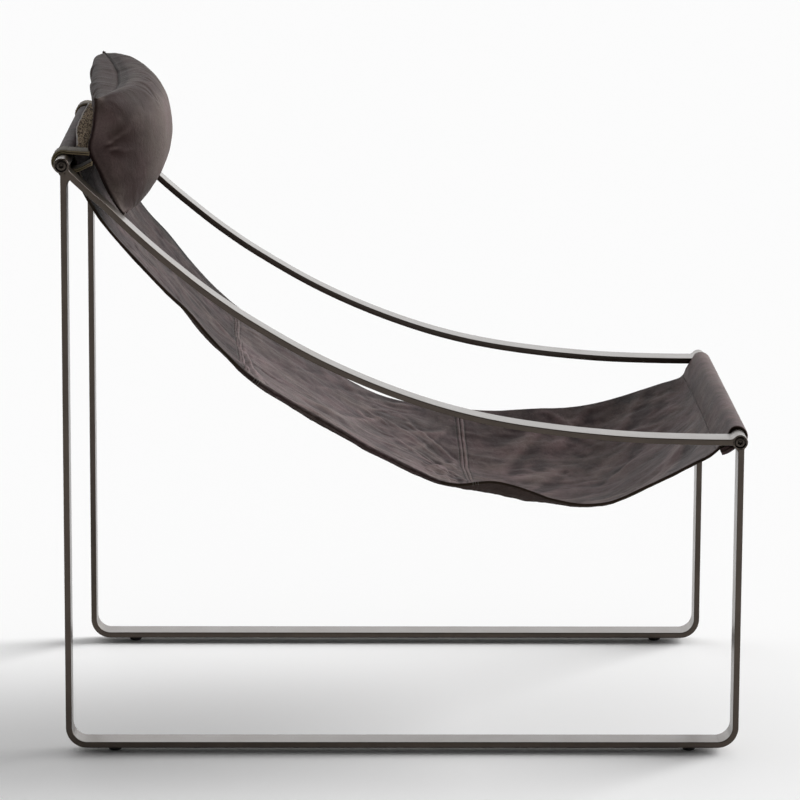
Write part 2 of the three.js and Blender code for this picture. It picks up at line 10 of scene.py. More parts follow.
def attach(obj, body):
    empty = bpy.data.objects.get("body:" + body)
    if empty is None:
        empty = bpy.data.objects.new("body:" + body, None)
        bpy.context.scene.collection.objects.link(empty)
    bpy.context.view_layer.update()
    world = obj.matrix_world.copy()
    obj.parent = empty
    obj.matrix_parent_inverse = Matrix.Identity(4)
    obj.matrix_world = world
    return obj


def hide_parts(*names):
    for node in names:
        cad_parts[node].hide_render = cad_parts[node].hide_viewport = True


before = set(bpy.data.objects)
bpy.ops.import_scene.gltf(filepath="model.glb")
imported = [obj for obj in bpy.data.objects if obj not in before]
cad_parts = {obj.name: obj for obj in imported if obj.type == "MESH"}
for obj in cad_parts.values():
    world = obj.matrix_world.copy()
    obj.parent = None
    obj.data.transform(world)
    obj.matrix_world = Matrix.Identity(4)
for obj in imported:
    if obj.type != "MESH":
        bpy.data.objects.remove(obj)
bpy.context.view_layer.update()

MM = 0.001
scene = bpy.context.scene

# ------------------------------------------------------------------ camera
# Seen from the chair's right side, a little above it, with a long lens.


def make_camera():
    yaw, pitch, roll = 0.0176, 0.1892, 0.0051
    F, R, U = np.array([1.0, 0, 0]), np.array([0, -1.0, 0]), np.array([0, 0, 1.0])
    F1 = F * math.cos(yaw) + R * math.sin(yaw)
    R1 = R * math.cos(yaw) - F * math.sin(yaw)
    F2 = F1 * math.cos(pitch) - U * math.sin(pitch)
    U2 = U * math.cos(pitch) + F1 * math.sin(pitch)
    R3 = R1 * math.cos(roll) + U2 * math.sin(roll)
    U3 = U2 * math.cos(roll) - R1 * math.sin(roll)
    cam = bpy.data.cameras.new("camera")
    cam.sensor_width = 36.0
    cam.lens = 4135.9 / 800 * 36
    cam.clip_start, cam.clip_end = 0.1, 100
    cam.dof.use_dof = False
    obj = bpy.data.objects.new("camera", cam)
    scene.collection.objects.link(obj)
    m = Matrix.Identity(4)
    for i in range(3):
        m[i][0], m[i][1], m[i][2] = R3[i], U3[i], -F2[i]
    m[0][3], m[1][3], m[2][3] = -5.6076, 0.0964, 1.4893
    obj.matrix_world = m
    scene.camera = obj


make_camera()

# -------------------------------------------------------------- dimensions
# millimetres, as in the construction model
REAR_FACE_Y, FRONT_FACE_Y, RUNNER_Z, CORNER_R, BAR_T = 442.5, -447.5, 7.0, 28.0, 8.0
REAR_AXIS, FRONT_AXIS = np.array([441.0, 781.9]), np.array([-442.0, 420.2])
SIDE_X = 298.0
SLING_HALF, SLEEVE_HALF = 275.0, 232.5
REAR_WRAP_R, FRONT_WRAP_R = 12.0, 13.2

RAIL_TOP = [
    [437.2, 781.6], [429.4, 773.8], [421.6, 766], [409, 754.4], [396.9, 743.4], [383.8, 732.3],
    [366.1, 715.2], [340.5, 691.2], [314.8, 668.4], [289.1, 647.2], [263.3, 626.6],
    [237.5, 607.6], [211.6, 589.8], [185.7, 573.6], [159.8, 558.1], [133.8, 543.3],
    [107.8, 529.6], [81.8, 517.1], [55.8, 505.5], [29.7, 494.7], [3.6, 484.8],
    [-22.5, 475.7], [-48.6, 467.4], [-74.7, 460.2], [-100.8, 453.8], [-127, 448.4],
    [-153.1, 443.8], [-179.3, 439.9], [-205.5, 436.5], [-231.6, 433.5], [-257.8, 431],
    [-284, 428.8], [-310.1, 427.1], [-336.3, 426], [-362.5, 425.2], [-401.7, 424.4], [-440, 424.2],
]
EDGE_RIGHT = [
    [429.9, 786.4], [424.2, 768], [416, 748.5], [405, 727.5], [391.8, 706.5], [376.2, 686.4], [360.8, 669.1],
    [344.7, 651.7], [328.2, 633.8], [313.1, 617.7], [299.1, 603.8], [286.1, 591.9], [274, 579], [261.6, 563.7],
    [248.4, 548.6], [235.5, 534.6], [223.5, 522.6], [211.8, 511.3], [199.6, 500.8], [186.8, 491.4], [173.5, 483],
    [159.9, 474.7], [133, 458.5], [105.4, 442.7], [75.5, 425.2], [44.8, 406.5], [10.5, 389.3],
    [-24.2, 371.9], [-38.4, 364.8], [-51.7, 359.4], [-65.1, 356.2], [-78.1, 355.2], [-91.4, 356.3],
    [-105.6, 358.4], [-119.3, 359], [-132.3, 357.4], [-145.8, 354.1], [-162, 349], [-180.2, 342.2],
    [-195.8, 336.2], [-209.8, 333], [-225.1, 330], [-241.1, 328.3], [-257.1, 328.7], [-273.3, 331],
    [-289.4, 336.5], [-321.4, 351.7], [-353.3, 367.3], [-385, 383.8], [-404, 393.6], [-416, 403],
    [-425, 415], [-434.4, 431],
]
EDGE_LEFT = [
    [429.9, 786.4], [423, 767], [413, 740], [400.5, 714], [387.5, 688], [372.5, 660], [355.5, 636.5],
    [327, 605.5], [298.5, 569.5], [269.5, 536.5], [240.5, 509], [197.5, 475], [147.5, 441],
    [97.5, 409.5], [50, 382], [24, 370.3], [-6.5, 361.4], [-60, 352.8], [-122.5, 347.3],
    [-151.5, 346.8], [-180.5, 348.6], [-209.5, 350.2], [-238.5, 350.8], [-267.5, 353.8],
    [-296.5, 359.4], [-325.5, 367.4], [-354.5, 376.9], [-383.5, 386.6], [-404, 392.8],
    [-412.5, 396], [-418, 401.5], [-422, 411], [-434.4, 431],
]
SEAM_1_Y, SEAM_2_Y = (187.5, 227.0), (-101.0, -92.5)
# how far the sling's middle hangs below its edges, by station along it
SAG_TABLE = np.array([
    [0, 0], [0.05, 0.8], [0.11, 2.5], [0.25, 8], [0.4, 13], [0.6, 17], [0.8, 19], [1, 20], [1.4, 21],
    [1.7, 23], [1.83, 27], [1.93, 39], [1.965, 45.5], [2.01, 51], [2.09, 54.5], [2.165, 54.5], [2.225, 52], [2.31, 48.5],
    [2.38, 46.5], [2.52, 44.5], [2.62, 37], [2.75, 27], [2.85, 15], [2.9, 6.5], [2.935, 1.2], [2.955, 0], [3, 0],
])

# ------------------------------------------------------------------ numbers


def sstep(x, a, b):
    t = np.clip((np.asarray(x, float) - a) / (b - a), 0, 1)
    return t * t * (3 - 2 * t)


def perlin(x, y, seed):
    """Smooth noise of about -1 to 1, the same each run."""
    x, y = np.broadcast_arrays(np.asarray(x, float), np.asarray(y, float))
    xi, yi = np.floor(x).astype(np.int64), np.floor(y).astype(np.int64)
    xf, yf = x - xi, y - yi
    u, v = xf**3 * (xf * (xf * 6 - 15) + 10), yf**3 * (yf * (yf * 6 - 15) + 10)

    def corner(i, j):
        h = ((xi + i) * 374761393 + (yi + j) * 668265263 + seed * 1442695041) & 0xFFFFFFFF
        h = ((h ^ (h >> 13)) * 1274126177) & 0xFFFFFFFF
        a = ((h ^ (h >> 16)) & 0xFFFF) * (2 * math.pi / 65536)
        return np.cos(a) * (xf - i) + np.sin(a) * (yf - j)

    return 1.4 * (
        (corner(0, 0) * (1 - u) + corner(1, 0) * u) * (1 - v)
        + (corner(0, 1) * (1 - u) + corner(1, 1) * u) * v
    )


def fbm(x, y, seed, octaves=3, gain=0.5):
    out, a, k = 0.0, 1.0, 1.0
    for i in range(octaves):
        out = out + a * perlin(np.asarray(x) * k, np.asarray(y) * k, seed + 17 * i)
        a, k = a * gain, k * 2.03
    return out


def crest(n, w):
    """A line of soft ridges along the places where n passes zero."""
    return np.exp(-((n / w) ** 2))


def catmull(points, steps):
    """Smooth line through the points, cut into equal lengths."""
    p = np.array(points, float)
    p = np.vstack([2 * p[0] - p[1], p, 2 * p[-1] - p[-2]])
    t = np.linspace(0, 1, 25)[:-1, None]
    out = []
    for i in range(len(p) - 3):
        a, b, c, d = p[i : i + 4]
        d0, d1, d2 = (max(np.linalg.norm(q) ** 0.5, 1e-3) for q in (b - a, c - b, d - c))
        m1 = ((b - a) / d0 - (c - a) / (d0 + d1) + (c - b) / d1) * d1
        m2 = ((c - b) / d1 - (d - b) / (d1 + d2) + (d - c) / d2) * d1
        out.append((2 * t**3 - 3 * t**2 + 1) * b + (t**3 - 2 * t**2 + t) * m1 + (3 * t**2 - 2 * t**3) * c + (t**3 - t**2) * m2)
    line = np.vstack([*out, p[-2][None]])
    return equal(line, steps)


def lengths(line):
    return np.concatenate([[0], np.cumsum(np.linalg.norm(np.diff(line, axis=0), axis=1))])


def equal(line, steps):
    s = lengths(line)
    at = np.linspace(0, s[-1], steps + 1)
    return np.stack([np.interp(at, s, line[:, k]) for k in range(line.shape[1])], axis=1)


def arc(centre, r, a0, a1, steps):
    t = np.radians(np.linspace(a0, a1, steps + 1))
    return np.stack([centre[0] + r * np.cos(t), centre[1] + r * np.sin(t)], axis=1)


# ---------------------------------------------------------------- materials


class Nodes:
    """Small help for writing shader trees."""

    def __init__(self, name):
        self.m = bpy.data.materials.new(name)
        self.m.use_nodes = True
        self.t = self.m.node_tree
        self.t.nodes.clear()
        self.out = self.add("ShaderNodeOutputMaterial")
        self.bsdf = self.add("ShaderNodeBsdfPrincipled")
        self.t.links.new(self.bsdf.outputs[0], self.out.inputs["Surface"])

    def add(self, kind, **props):
        n = self.t.nodes.new(kind)
        for k, v in props.items():
            setattr(n, k, v)
        return n

    def link(self, a, b):
        self.t.links.new(a, b)

    def put(self, socket, value):
        if isinstance(value, bpy.types.NodeSocket):
            self.link(value, socket)
        else:
            socket.default_value = value

    def const(self, **values):
        for k, v in values.items():
            self.bsdf.inputs[k.replace("_", " ")].default_value = v

    def coords(self, kind="Object"):
        if not hasattr(self, "tc"):
            self.tc = self.add("ShaderNodeTexCoord")
        return self.tc.outputs[kind]

    def scaled(self, vector, scale, rotation=(0, 0, 0), location=(0, 0, 0)):
        n = self.add("ShaderNodeMapping")
        self.link(vector, n.inputs["Vector"])
        n.inputs["Scale"].default_value = scale
        n.inputs["Rotation"].default_value = rotation
        n.inputs["Location"].default_value = location
        return n.outputs[0]

    def noise(self, vector, scale, detail=4.0, rough=0.55, distortion=0.0, kind="FBM"):
        n = self.add("ShaderNodeTexNoise")
        n.noise_dimensions = "3D"
        n.noise_type = kind
        self.link(vector, n.inputs["Vector"])
        n.inputs["Scale"].default_value = scale
        n.inputs["Detail"].default_value = detail
        n.inputs["Roughness"].default_value = rough
        n.inputs["Distortion"].default_value = distortion
        return n.outputs[0]

    def voronoi(self, vector, scale, feature="F1", smooth=None, randomness=1.0):
        n = self.add("ShaderNodeTexVoronoi")
        n.feature = feature
        self.link(vector, n.inputs["Vector"])
        n.inputs["Scale"].default_value = scale
        n.inputs["Randomness"].default_value = randomness
        if smooth is not None:
            n.inputs["Smoothness"].default_value = smooth
        return n.outputs["Distance"]

    def math(self, op, a, b=0.0, c=None, clamp=False):
        n = self.add("ShaderNodeMath", operation=op, use_clamp=clamp)
        self.put(n.inputs[0], a)
        self.put(n.inputs[1], b)
        if c is not None:
            self.put(n.inputs[2], c)
        return n.outputs[0]

    def ramp(self, value, lo, hi, to_lo=0.0, to_hi=1.0, smooth=True):
        n = self.add("ShaderNodeMapRange")
        n.interpolation_type = "SMOOTHSTEP" if smooth else "LINEAR"
        self.put(n.inputs["Value"], value)
        n.inputs["From Min"].default_value = lo
        n.inputs["From Max"].default_value = hi
        n.inputs["To Min"].default_value = to_lo
        n.inputs["To Max"].default_value = to_hi
        return n.outputs[0]

    def mix(self, factor, a, b, blend="MIX"):
        n = self.add("ShaderNodeMix", data_type="RGBA", blend_type=blend)
        n.clamp_factor = True
        self.put(n.inputs[0], factor)
        for socket, v in ((n.inputs[6], a), (n.inputs[7], b)):
            if isinstance(v, bpy.types.NodeSocket):
                self.link(v, socket)
            else:
                socket.default_value = (*v, 1.0)
        return n.outputs[2]

    def attribute(self, name):
        n = self.add("ShaderNodeAttribute", attribute_name=name)
        n.attribute_type = "GEOMETRY"
        return n.outputs["Fac"]

    def bump(self, height, distance, strength=1.0, normal=None):
        n = self.add("ShaderNodeBump")
        n.inputs["Strength"].default_value = strength
        n.inputs["Distance"].default_value = distance
        self.link(height, n.inputs["Height"])
        if normal is not None:
            self.link(normal, n.inputs["Normal"])
        return n.outputs[0]

    def colour(self, socket):
        self.link(socket, self.bsdf.inputs["Base Color"])

    def rough(self, socket):
        self.link(socket, self.bsdf.inputs["Roughness"])

    def normal(self, socket):
        self.link(socket, self.bsdf.inputs["Normal"])


def leather_material(name, dark, light, gain=1.0, streaks=True, spec=0.10):
    """Waxed full-grain leather: cloudy colour, lighter on crests, fine pebble."""
    n = Nodes(name)
    o = n.coords("Object")
    cloud = n.noise(o, 9.0, 6.0, 0.62, 0.6)
    patch = n.noise(n.scaled(o, (1, 1, 1), location=(3.1, 1.7, 0.4)), 34.0, 5.0, 0.6, 0.3)
    speck = n.noise(o, 420.0, 3.0, 0.6)
    # the wear attribute read here carries rubbed crests and blotches, and also painted shade and painted light set on
    # the sling and pillow
    wear_and_painted_light = n.attribute("wear_and_painted_light")
    amount = n.math("ADD", n.math("MULTIPLY", cloud, 0.75), n.math("MULTIPLY", patch, 0.45))
    amount = n.math("ADD", amount, n.math("MULTIPLY", n.math("SUBTRACT", wear_and_painted_light, 0.5), 0.95 * gain))
    if streaks:
        uv = n.scaled(n.coords("UV"), (24.0, 22.0, 1.0))
        line = n.noise(uv, 1.0, 5.0, 0.62, 1.6)
        amount = n.math("ADD", amount, n.math("MULTIPLY", n.math("SUBTRACT", line, 0.5), 0.42))
    factor = n.ramp(amount, 0.28, 0.98, smooth=False)
    base = n.mix(factor, dark, light)
    hue = n.noise(n.scaled(o, (1, 1, 1), location=(7.3, 0.2, 5.0)), 16.0, 3.0, 0.5)
    tint = n.mix(n.ramp(hue, 0.35, 0.65), (1.05, 0.985, 0.99), (0.97, 1.01, 0.93))
    base = n.mix(1.0, base, tint, "MULTIPLY")
    base = n.mix(n.ramp(speck, 0.35, 0.75, 0.0, 0.28), base, (dark[0] * 0.75, dark[1] * 0.75, dark[2] * 0.75))
    n.colour(base)
    n.rough(n.ramp(n.math("ADD", n.math("MULTIPLY", patch, 0.6), n.math("MULTIPLY", speck, 0.4)), 0.3, 0.75, 0.50, 0.68, smooth=False))
    n.const(Specular_IOR_Level=spec, Sheen_Weight=0.02, Sheen_Roughness=0.5)
    # pebble grain, then pores, then slack creases
    warp = n.math("MULTIPLY", n.noise(o, 240.0, 2.0, 0.5), 0.0025)
    moved = n.add("ShaderNodeVectorMath", operation="ADD")
    n.link(o, moved.inputs[0])
    n.link(warp, moved.inputs[1])
    pebble = n.voronoi(moved.outputs[0], 620.0, "SMOOTH_F1", 0.35)
    grain = n.math("SUBTRACT", n.math("MULTIPLY", pebble, 0.8), n.math("MULTIPLY", n.noise(o, 1500.0, 2.0, 0.6), 0.35))
    first = n.bump(grain, 0.00022, 0.55)
    creases = n.noise(n.scaled(n.coords("UV"), (0.55, 1.0, 1.0)), 75.0, 5.0, 0.62, 1.4) if streaks else n.noise(o, 95.0, 4.0, 0.6, 1.2)
    n.normal(n.bump(creases, 0.0016 if streaks else 0.0011, 0.55, first))
    return n.m


def metal_material(name, base, rough=(0.27, 0.40), coat=0.35, grain=0.00003):
    """Satin bronze coat: a faint orange peel and slightly uneven gloss."""
    n = Nodes(name)
    o = n.coords("Object")
    mottle = n.noise(o, 22.0, 5.0, 0.6)
    fine = n.noise(o, 900.0, 3.0, 0.6)
    low = tuple(0.86 * c for c in base)
    high = tuple(1.14 * c for c in base)
    n.colour(n.mix(n.ramp(n.math("ADD", n.math("MULTIPLY", mottle, 0.7), n.math("MULTIPLY", fine, 0.3)), 0.35, 0.65), low, high))
    n.rough(n.ramp(n.math("ADD", n.math("MULTIPLY", mottle, 0.5), n.math("MULTIPLY", fine, 0.5)), 0.3, 0.7, rough[0], rough[1], smooth=False))
    n.const(Metallic=1.0, Coat_Weight=coat, Coat_Roughness=0.16, Coat_IOR=1.5)
    n.normal(n.bump(n.noise(o, 1400.0, 2.0, 0.5), grain, 0.5))
    return n.m


def suede_material(name, dark, light, bump=0.0004, size=260.0, low=0.42, high=0.74, spec=0.12, sheen=0.08, drawn=1.0):
    """Rough flesh side: short nap with flecks, drawn out along X by 1/drawn."""
    n = Nodes(name)
    o = n.scaled(n.coords("Object"), (drawn, 1.0, 1.0))
    nap = n.noise(o, 900.0, 4.0, 0.7)
    fleck = n.noise(o, size, 5.0, 0.7, 0.4)
    cloud = n.noise(o, 30.0, 4.0, 0.6)
    amount = n.math("ADD", n.math("MULTIPLY", fleck, 0.6), n.math("ADD", n.math("MULTIPLY", nap, 0.3), n.math("MULTIPLY", cloud, 0.25)))
    n.colour(n.mix(n.ramp(amount, low, high), dark, light))
    n.rough(n.ramp(nap, 0.3, 0.7, 0.86, 0.98))
    n.const(Specular_IOR_Level=spec, Sheen_Weight=sheen, Sheen_Roughness=0.6)
    n.normal(n.bump(n.math("ADD", n.math("MULTIPLY", nap, 0.6), fleck), bump, 0.8))
    return n.m


def plain_material(name, low, high, rough, scale=180.0, bump=0.0001, metallic=0.0, spec=0.5):
    """Moulded or cut surface: small mottling, uneven gloss and a fine texture."""
    n = Nodes(name)
    o = n.coords("Object")
    a = n.noise(o, scale, 4.0, 0.6)
    b = n.noise(o, scale * 6, 3.0, 0.6)
    n.colour(n.mix(n.ramp(n.math("ADD", n.math("MULTIPLY", a, 0.6), n.math("MULTIPLY", b, 0.4)), 0.35, 0.65), low, high))
    n.rough(n.ramp(b, 0.3, 0.7, rough[0], rough[1], smooth=False))
    n.const(Metallic=metallic, Specular_IOR_Level=spec)
    n.normal(n.bump(b, bump, 0.6))
    return n.m


def thread_material(name, low, high):
    n = Nodes(name)
    o = n.coords("Object")
    twist = n.add("ShaderNodeTexWave")
    twist.wave_type, twist.bands_direction = "BANDS", "DIAGONAL"
    n.link(o, twist.inputs["Vector"])
    twist.inputs["Scale"].default_value = 900.0
    twist.inputs["Distortion"].default_value = 1.5
    fuzz = n.noise(o, 2500.0, 3.0, 0.6)
    n.colour(n.mix(n.ramp(n.math("ADD", n.math("MULTIPLY", twist.outputs["Fac"], 0.5), n.math("MULTIPLY", fuzz, 0.5)), 0.3, 0.7), low, high))
    n.rough(n.ramp(fuzz, 0.3, 0.7, 0.55, 0.75))
    n.const(Sheen_Weight=0.1)
    n.normal(n.bump(twist.outputs["Fac"], 0.00015, 0.7))
    return n.m


BRONZE = metal_material("bronze_satin", (0.066, 0.052, 0.042), (0.26, 0.40), 0.25)
BLACK = metal_material("black_oxide", (0.052, 0.043, 0.036), (0.26, 0.38), 0.12)
ZINC = metal_material("zinc_plate", (0.42, 0.42, 0.40), (0.30, 0.45), 0.0)
NYLON = plain_material("moulded_nylon", (0.012, 0.011, 0.010), (0.022, 0.021, 0.019), (0.45, 0.62))
LEATHER = leather_material("waxed_leather", (0.034, 0.0208, 0.0222), (0.126, 0.090, 0.091), 1.1, True, 0.075)
# the sling's back panel: a darker copy of the sling leather, painted shade for the panel behind the pillow
BACK_LEATHER_SHADED = leather_material("waxed_leather_back_shaded", (0.018, 0.0110, 0.0115), (0.086, 0.061, 0.061), 1.3, True, 0.04)
SEAT_LEATHER = leather_material("waxed_leather_seat", (0.035, 0.0194, 0.0202), (0.146, 0.100, 0.099), 1.1)
# a darker copy of the sling leather for the hem's downturned side: painted shade
HEM_SHADE = leather_material("waxed_hem_painted_shade", (0.018, 0.012, 0.008), (0.058, 0.041, 0.029), 0.6, False, 0.04)
PILLOW_LEATHER = leather_material("waxed_leather_pillow", (0.028, 0.0170, 0.0158), (0.100, 0.076, 0.072), 1.15, False, 0.035)
STRAP_LEATHER = leather_material("strap_leather", (0.070, 0.055, 0.031), (0.200, 0.168, 0.106), 1.0, False)
# the leather's flesh side, made darker than its own brown: its colour also holds painted shade for the undersides
FLESH_SHADED = suede_material("leather_flesh_side_shaded", (0.019, 0.0128, 0.0112), (0.052, 0.037, 0.032), 0.0003, 260.0, 0.42, 0.74, 0.02, 0.0)
SUEDE = suede_material("rough_suede", (0.052, 0.032, 0.018), (0.450, 0.350, 0.240), 0.0010, 390.0, 0.545, 0.625, 0.04, 0.02, 0.20)
CUT = plain_material("cut_leather_edge", (0.030, 0.020, 0.014), (0.070, 0.050, 0.037), (0.6, 0.8), 300.0, 0.0002, 0.0, 0.3)
# pale cut edge colour, also used as a painted highlight along the grip strip's upper edge
PALE_CUT_AND_HIGHLIGHT = plain_material("pale_cut_edge_and_highlight", (0.36, 0.32, 0.30), (0.56, 0.52, 0.50), (0.6, 0.8), 300.0, 0.0002, 0.0, 0.3)
THREAD = thread_material("sewing_thread", (0.045, 0.037, 0.029), (0.105, 0.090, 0.074))
WADDING = suede_material("fibre_filling", (0.52, 0.49, 0.42), (0.78, 0.74, 0.66), 0.0012)
ZIP_TAPE = suede_material("zip_tape_weave", (0.012, 0.010, 0.009), (0.032, 0.028, 0.024), 0.0002)
ZIP_TEETH = plain_material("zip_teeth", (0.014, 0.012, 0.011), (0.03, 0.027, 0.024), (0.35, 0.5))

# ------------------------------------------------------------- mesh helpers


def signed_volume(v, faces):
    total = 0.0
    for f in faces:
        a = v[f[0]]
        for i in range(1, len(f) - 1):
            total += np.dot(a, np.cross(v[f[i]], v[f[i + 1]]))
    return total / 6


def build(name, verts, faces, materials, face_mats=None, uv=None, attrs=None, sharp=35.0, closed_fix=True):
    """A mesh object from points in millimetres."""
    v = np.asarray(verts, float)
    me = bpy.data.meshes.new(name)
    if isinstance(faces, np.ndarray):
        size = faces.shape[1]
        me.vertices.add(len(v))
        me.vertices.foreach_set("co", (v * MM).astype(np.float32).ravel())
        me.loops.add(faces.size)
        me.loops.foreach_set("vertex_index", faces.astype(np.int32).ravel())
        me.polygons.add(len(faces))
        me.polygons.foreach_set("loop_start", np.arange(0, faces.size, size, dtype=np.int32))
        me.update(calc_edges=True)
    else:
        if closed_fix and signed_volume(v, faces) < 0:
            faces = [tuple(reversed(f)) for f in faces]
        me.from_pydata((v * MM).tolist(), [], [tuple(int(i) for i in f) for f in faces])
        me.update()
    for m in materials if isinstance(materials, (list, tuple)) else [materials]:
        me.materials.append(m)
    if face_mats is not None:
        me.polygons.foreach_set("material_index", np.asarray(face_mats, np.int32))
    me.polygons.foreach_set("use_smooth", np.ones(len(me.polygons), bool))
    if uv is not None:
        layer = me.uv_layers.new(name="UVMap")
        idx = np.zeros(len(me.loops), np.int32)
        me.loops.foreach_get("vertex_index", idx)
        layer.data.foreach_set("uv", np.asarray(uv, np.float32)[idx].ravel())
    for k, values in (attrs or {}).items():
        me.attributes.new(k, "FLOAT", "POINT").data.foreach_set("value", np.asarray(values, np.float32).ravel())
    if sharp is not None:
        me.set_sharp_from_angle(angle=math.radians(sharp))
    obj = bpy.data.objects.new(name, me)
    scene.collection.objects.link(obj)
    return obj


def place(obj, body, slot, *nodes):
    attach(obj, body)
    if nodes:
        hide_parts(*nodes)
    return obj


def flat_normals(obj):
    """Large flat faces keep flat shading beside small rounded edges."""
    m = obj.modifiers.new("weighted", "WEIGHTED_NORMAL")
    m.keep_sharp = True
    m.mode = "FACE_AREA_WITH_ANGLE"
    return obj


class Parts:
    """Several closed bodies gathered into one mesh."""

    def __init__(self):
        self.v, self.f, self.m, self.n = [], [], [], 0

    def add(self, verts, faces, mat=0, fix=True):
        verts = np.asarray(verts, float)
        if fix and signed_volume(verts, faces) < 0:
            faces = [tuple(reversed(f)) for f in faces]
        self.v.append(verts)
        self.f += [tuple(i + self.n for i in f) for f in faces]
        self.m += [mat] * len(faces)
        self.n += len(verts)

    def object(self, name, materials, **kw):
        return build(name, np.vstack(self.v), self.f, materials, self.m, closed_fix=False, **kw)


def rings_faces(count, k, closed_caps=True, loop=False):
    faces = []
    for i in range(count - 1 + (1 if loop else 0)):
        a, b = i * k, ((i + 1) % count) * k
        for j in range(k):
            jj = (j + 1) % k
            faces.append((a + j, a + jj, b + jj, b + j))
    if closed_caps and not loop:
        faces.append(tuple(range(k)))
        faces.append(tuple(range((count - 1) * k, count * k))[::-1])
    return faces


def bar_section(hx, ht, r, seg=3):
    """Flat bar cross-section (x, through), corners rounded by r."""
    out = []
    for cx, ct, a0 in ((hx - r, ht - r, 0), (-hx + r, ht - r, 90), (-hx + r, -ht + r, 180), (hx - r, -ht + r, 270)):
        for i in range(seg + 1):
            a = math.radians(a0 + 90 * i / seg)
            out.append((cx + r * math.cos(a), ct + r * math.sin(a)))
    return np.array(out)


def sweep(path, section, x_mid=0.0):
    """A section (x, n) carried along a side-view path (y, z)."""
    path = np.asarray(path, float)
    t = np.gradient(path, axis=0)
    first, last = path[1] - path[0], path[-1] - path[-2]
    t[0], t[-1] = first, last
    # even bend at uneven spacing: use the mean of the unit directions
    d = np.diff(path, axis=0)
    d /= np.linalg.norm(d, axis=1)[:, None]
    t[1:-1] = d[:-1] + d[1:]
    t /= np.linalg.norm(t, axis=1)[:, None]
    n = np.stack([-t[:, 1], t[:, 0]], axis=1)
    k = len(section)
    v = np.zeros((len(path), k, 3))
    v[:, :, 0] = x_mid + section[None, :, 0]
    v[:, :, 1] = path[:, 0, None] + n[:, 0, None] * section[None, :, 1]
    v[:, :, 2] = path[:, 1, None] + n[:, 1, None] * section[None, :, 1]
    return v.reshape(-1, 3), rings_faces(len(path), k)


def turned(profile, centre, seg=64, flip=1, x_mid=0.0, hexes=()):
    """A turned piece about X from (x, r) points. A ring listed in hexes is a hexagon."""
    v, rows = [], []
    for i, (x, r) in enumerate(profile):
        if r < 1e-6:
            rows.append([len(v)])
            v.append((x_mid + flip * x, centre[0], centre[1]))
            continue
        row = []
        for j in range(seg):
            a = 2 * math.pi * j / seg
            rr = r
            if i in hexes:
                rr = r / math.cos(((a + math.pi / 6) % (math.pi / 3)) - math.pi / 6)
            row.append(len(v))
            v.append((x_mid + flip * x, centre[0] + rr * math.cos(a), centre[1] + rr * math.sin(a)))
        rows.append(row)
    faces = []
    count = len(rows)
    closed_loop = profile[0][1] > 1e-6
    for i in range(count if closed_loop else count - 1):
        a, b = rows[i], rows[(i + 1) % count]
        if len(a) == 1 and len(b) == 1:
            continue
        for j in range(seg):
            jj = (j + 1) % seg
            if len(a) == 1:
                faces.append((a[0], b[jj], b[j]))
            elif len(b) == 1:
                faces.append((a[j], a[jj], b[0]))
            else:
                faces.append((a[j], a[jj], b[jj], b[j]))
    return np.array(v), faces


def plate(poly, x0, x1, c=0.8):
    """A side-view outline made x0..x1 wide, its side edges broken by c."""
    p = np.asarray(poly, float)
    area = 0.5 * np.sum(p[:, 0] * np.roll(p[:, 1], -1) - np.roll(p[:, 0], -1) * p[:, 1])
    if area < 0:
        p = p[::-1]
    a, b = p - np.roll(p, 1, axis=0), np.roll(p, -1, axis=0) - p
    na = np.stack([a[:, 1], -a[:, 0]], axis=1) / np.maximum(np.linalg.norm(a, axis=1), 1e-9)[:, None]
    nb = np.stack([b[:, 1], -b[:, 0]], axis=1) / np.maximum(np.linalg.norm(b, axis=1), 1e-9)[:, None]
    n = na + nb
    n /= np.maximum(np.linalg.norm(n, axis=1), 1e-9)[:, None]
    inset = p - n * c
    rows = [(x0, inset), (x0 + c, p), (x1 - c, p), (x1, inset)]
    v = np.vstack([np.column_stack([np.full(len(q), x), q]) for x, q in rows])
    return v, rings_faces(4, len(p))


def fillet_line_circle(point, along, out, centre, r, rf, way):
    """Weld fillet outline between a flat face and a round boss."""
    point, along, out = (np.array(q, float) for q in (point, along, out))
    along /= np.linalg.norm(along)
    out /= np.linalg.norm(out)
    base = point + out * rf
    rel = centre - base
    t0 = rel @ along
    off = abs(rel @ out)
    span = math.sqrt(max((r + rf) ** 2 - off**2, 0.0))
    F = base + along * (t0 + way * span)
    tl = F - out * rf
    tc = centre + (F - centre) * r / (r + rf)
    a0 = math.atan2(*(tl - F)[::-1])
    a1 = math.atan2(*(tc - F)[::-1])
    while a1 - a0 > math.pi:
        a1 -= 2 * math.pi
    while a1 - a0 < -math.pi:
        a1 += 2 * math.pi
    arcs = [F + rf * np.array([math.cos(a), math.sin(a)]) for a in np.linspace(a0, a1, 13)]
    inner = tl - out * 1.5
    toward = centre + (tc - centre) * 0.87
    return [*arcs, toward, inner]


# ------------------------------------------------------------- metal frame


def arm_rail_path():
    top = catmull(RAIL_TOP, 300)
    t = np.gradient(top, axis=0)
    t /= np.linalg.norm(t, axis=1)[:, None]
    low = np.stack([-t[:, 1], t[:, 0]], axis=1)
    path = top + low * BAR_T / 2
    # both ends stop within the wall of the boss
    rear = np.linalg.norm(path - REAR_AXIS, axis=1)
    front = np.linalg.norm(path - FRONT_AXIS, axis=1)
    path = path[(rear > 8.5) & (front > 8.5)]
    return np.vstack([path[0:1], path[4:-4:2], path[-1:]])


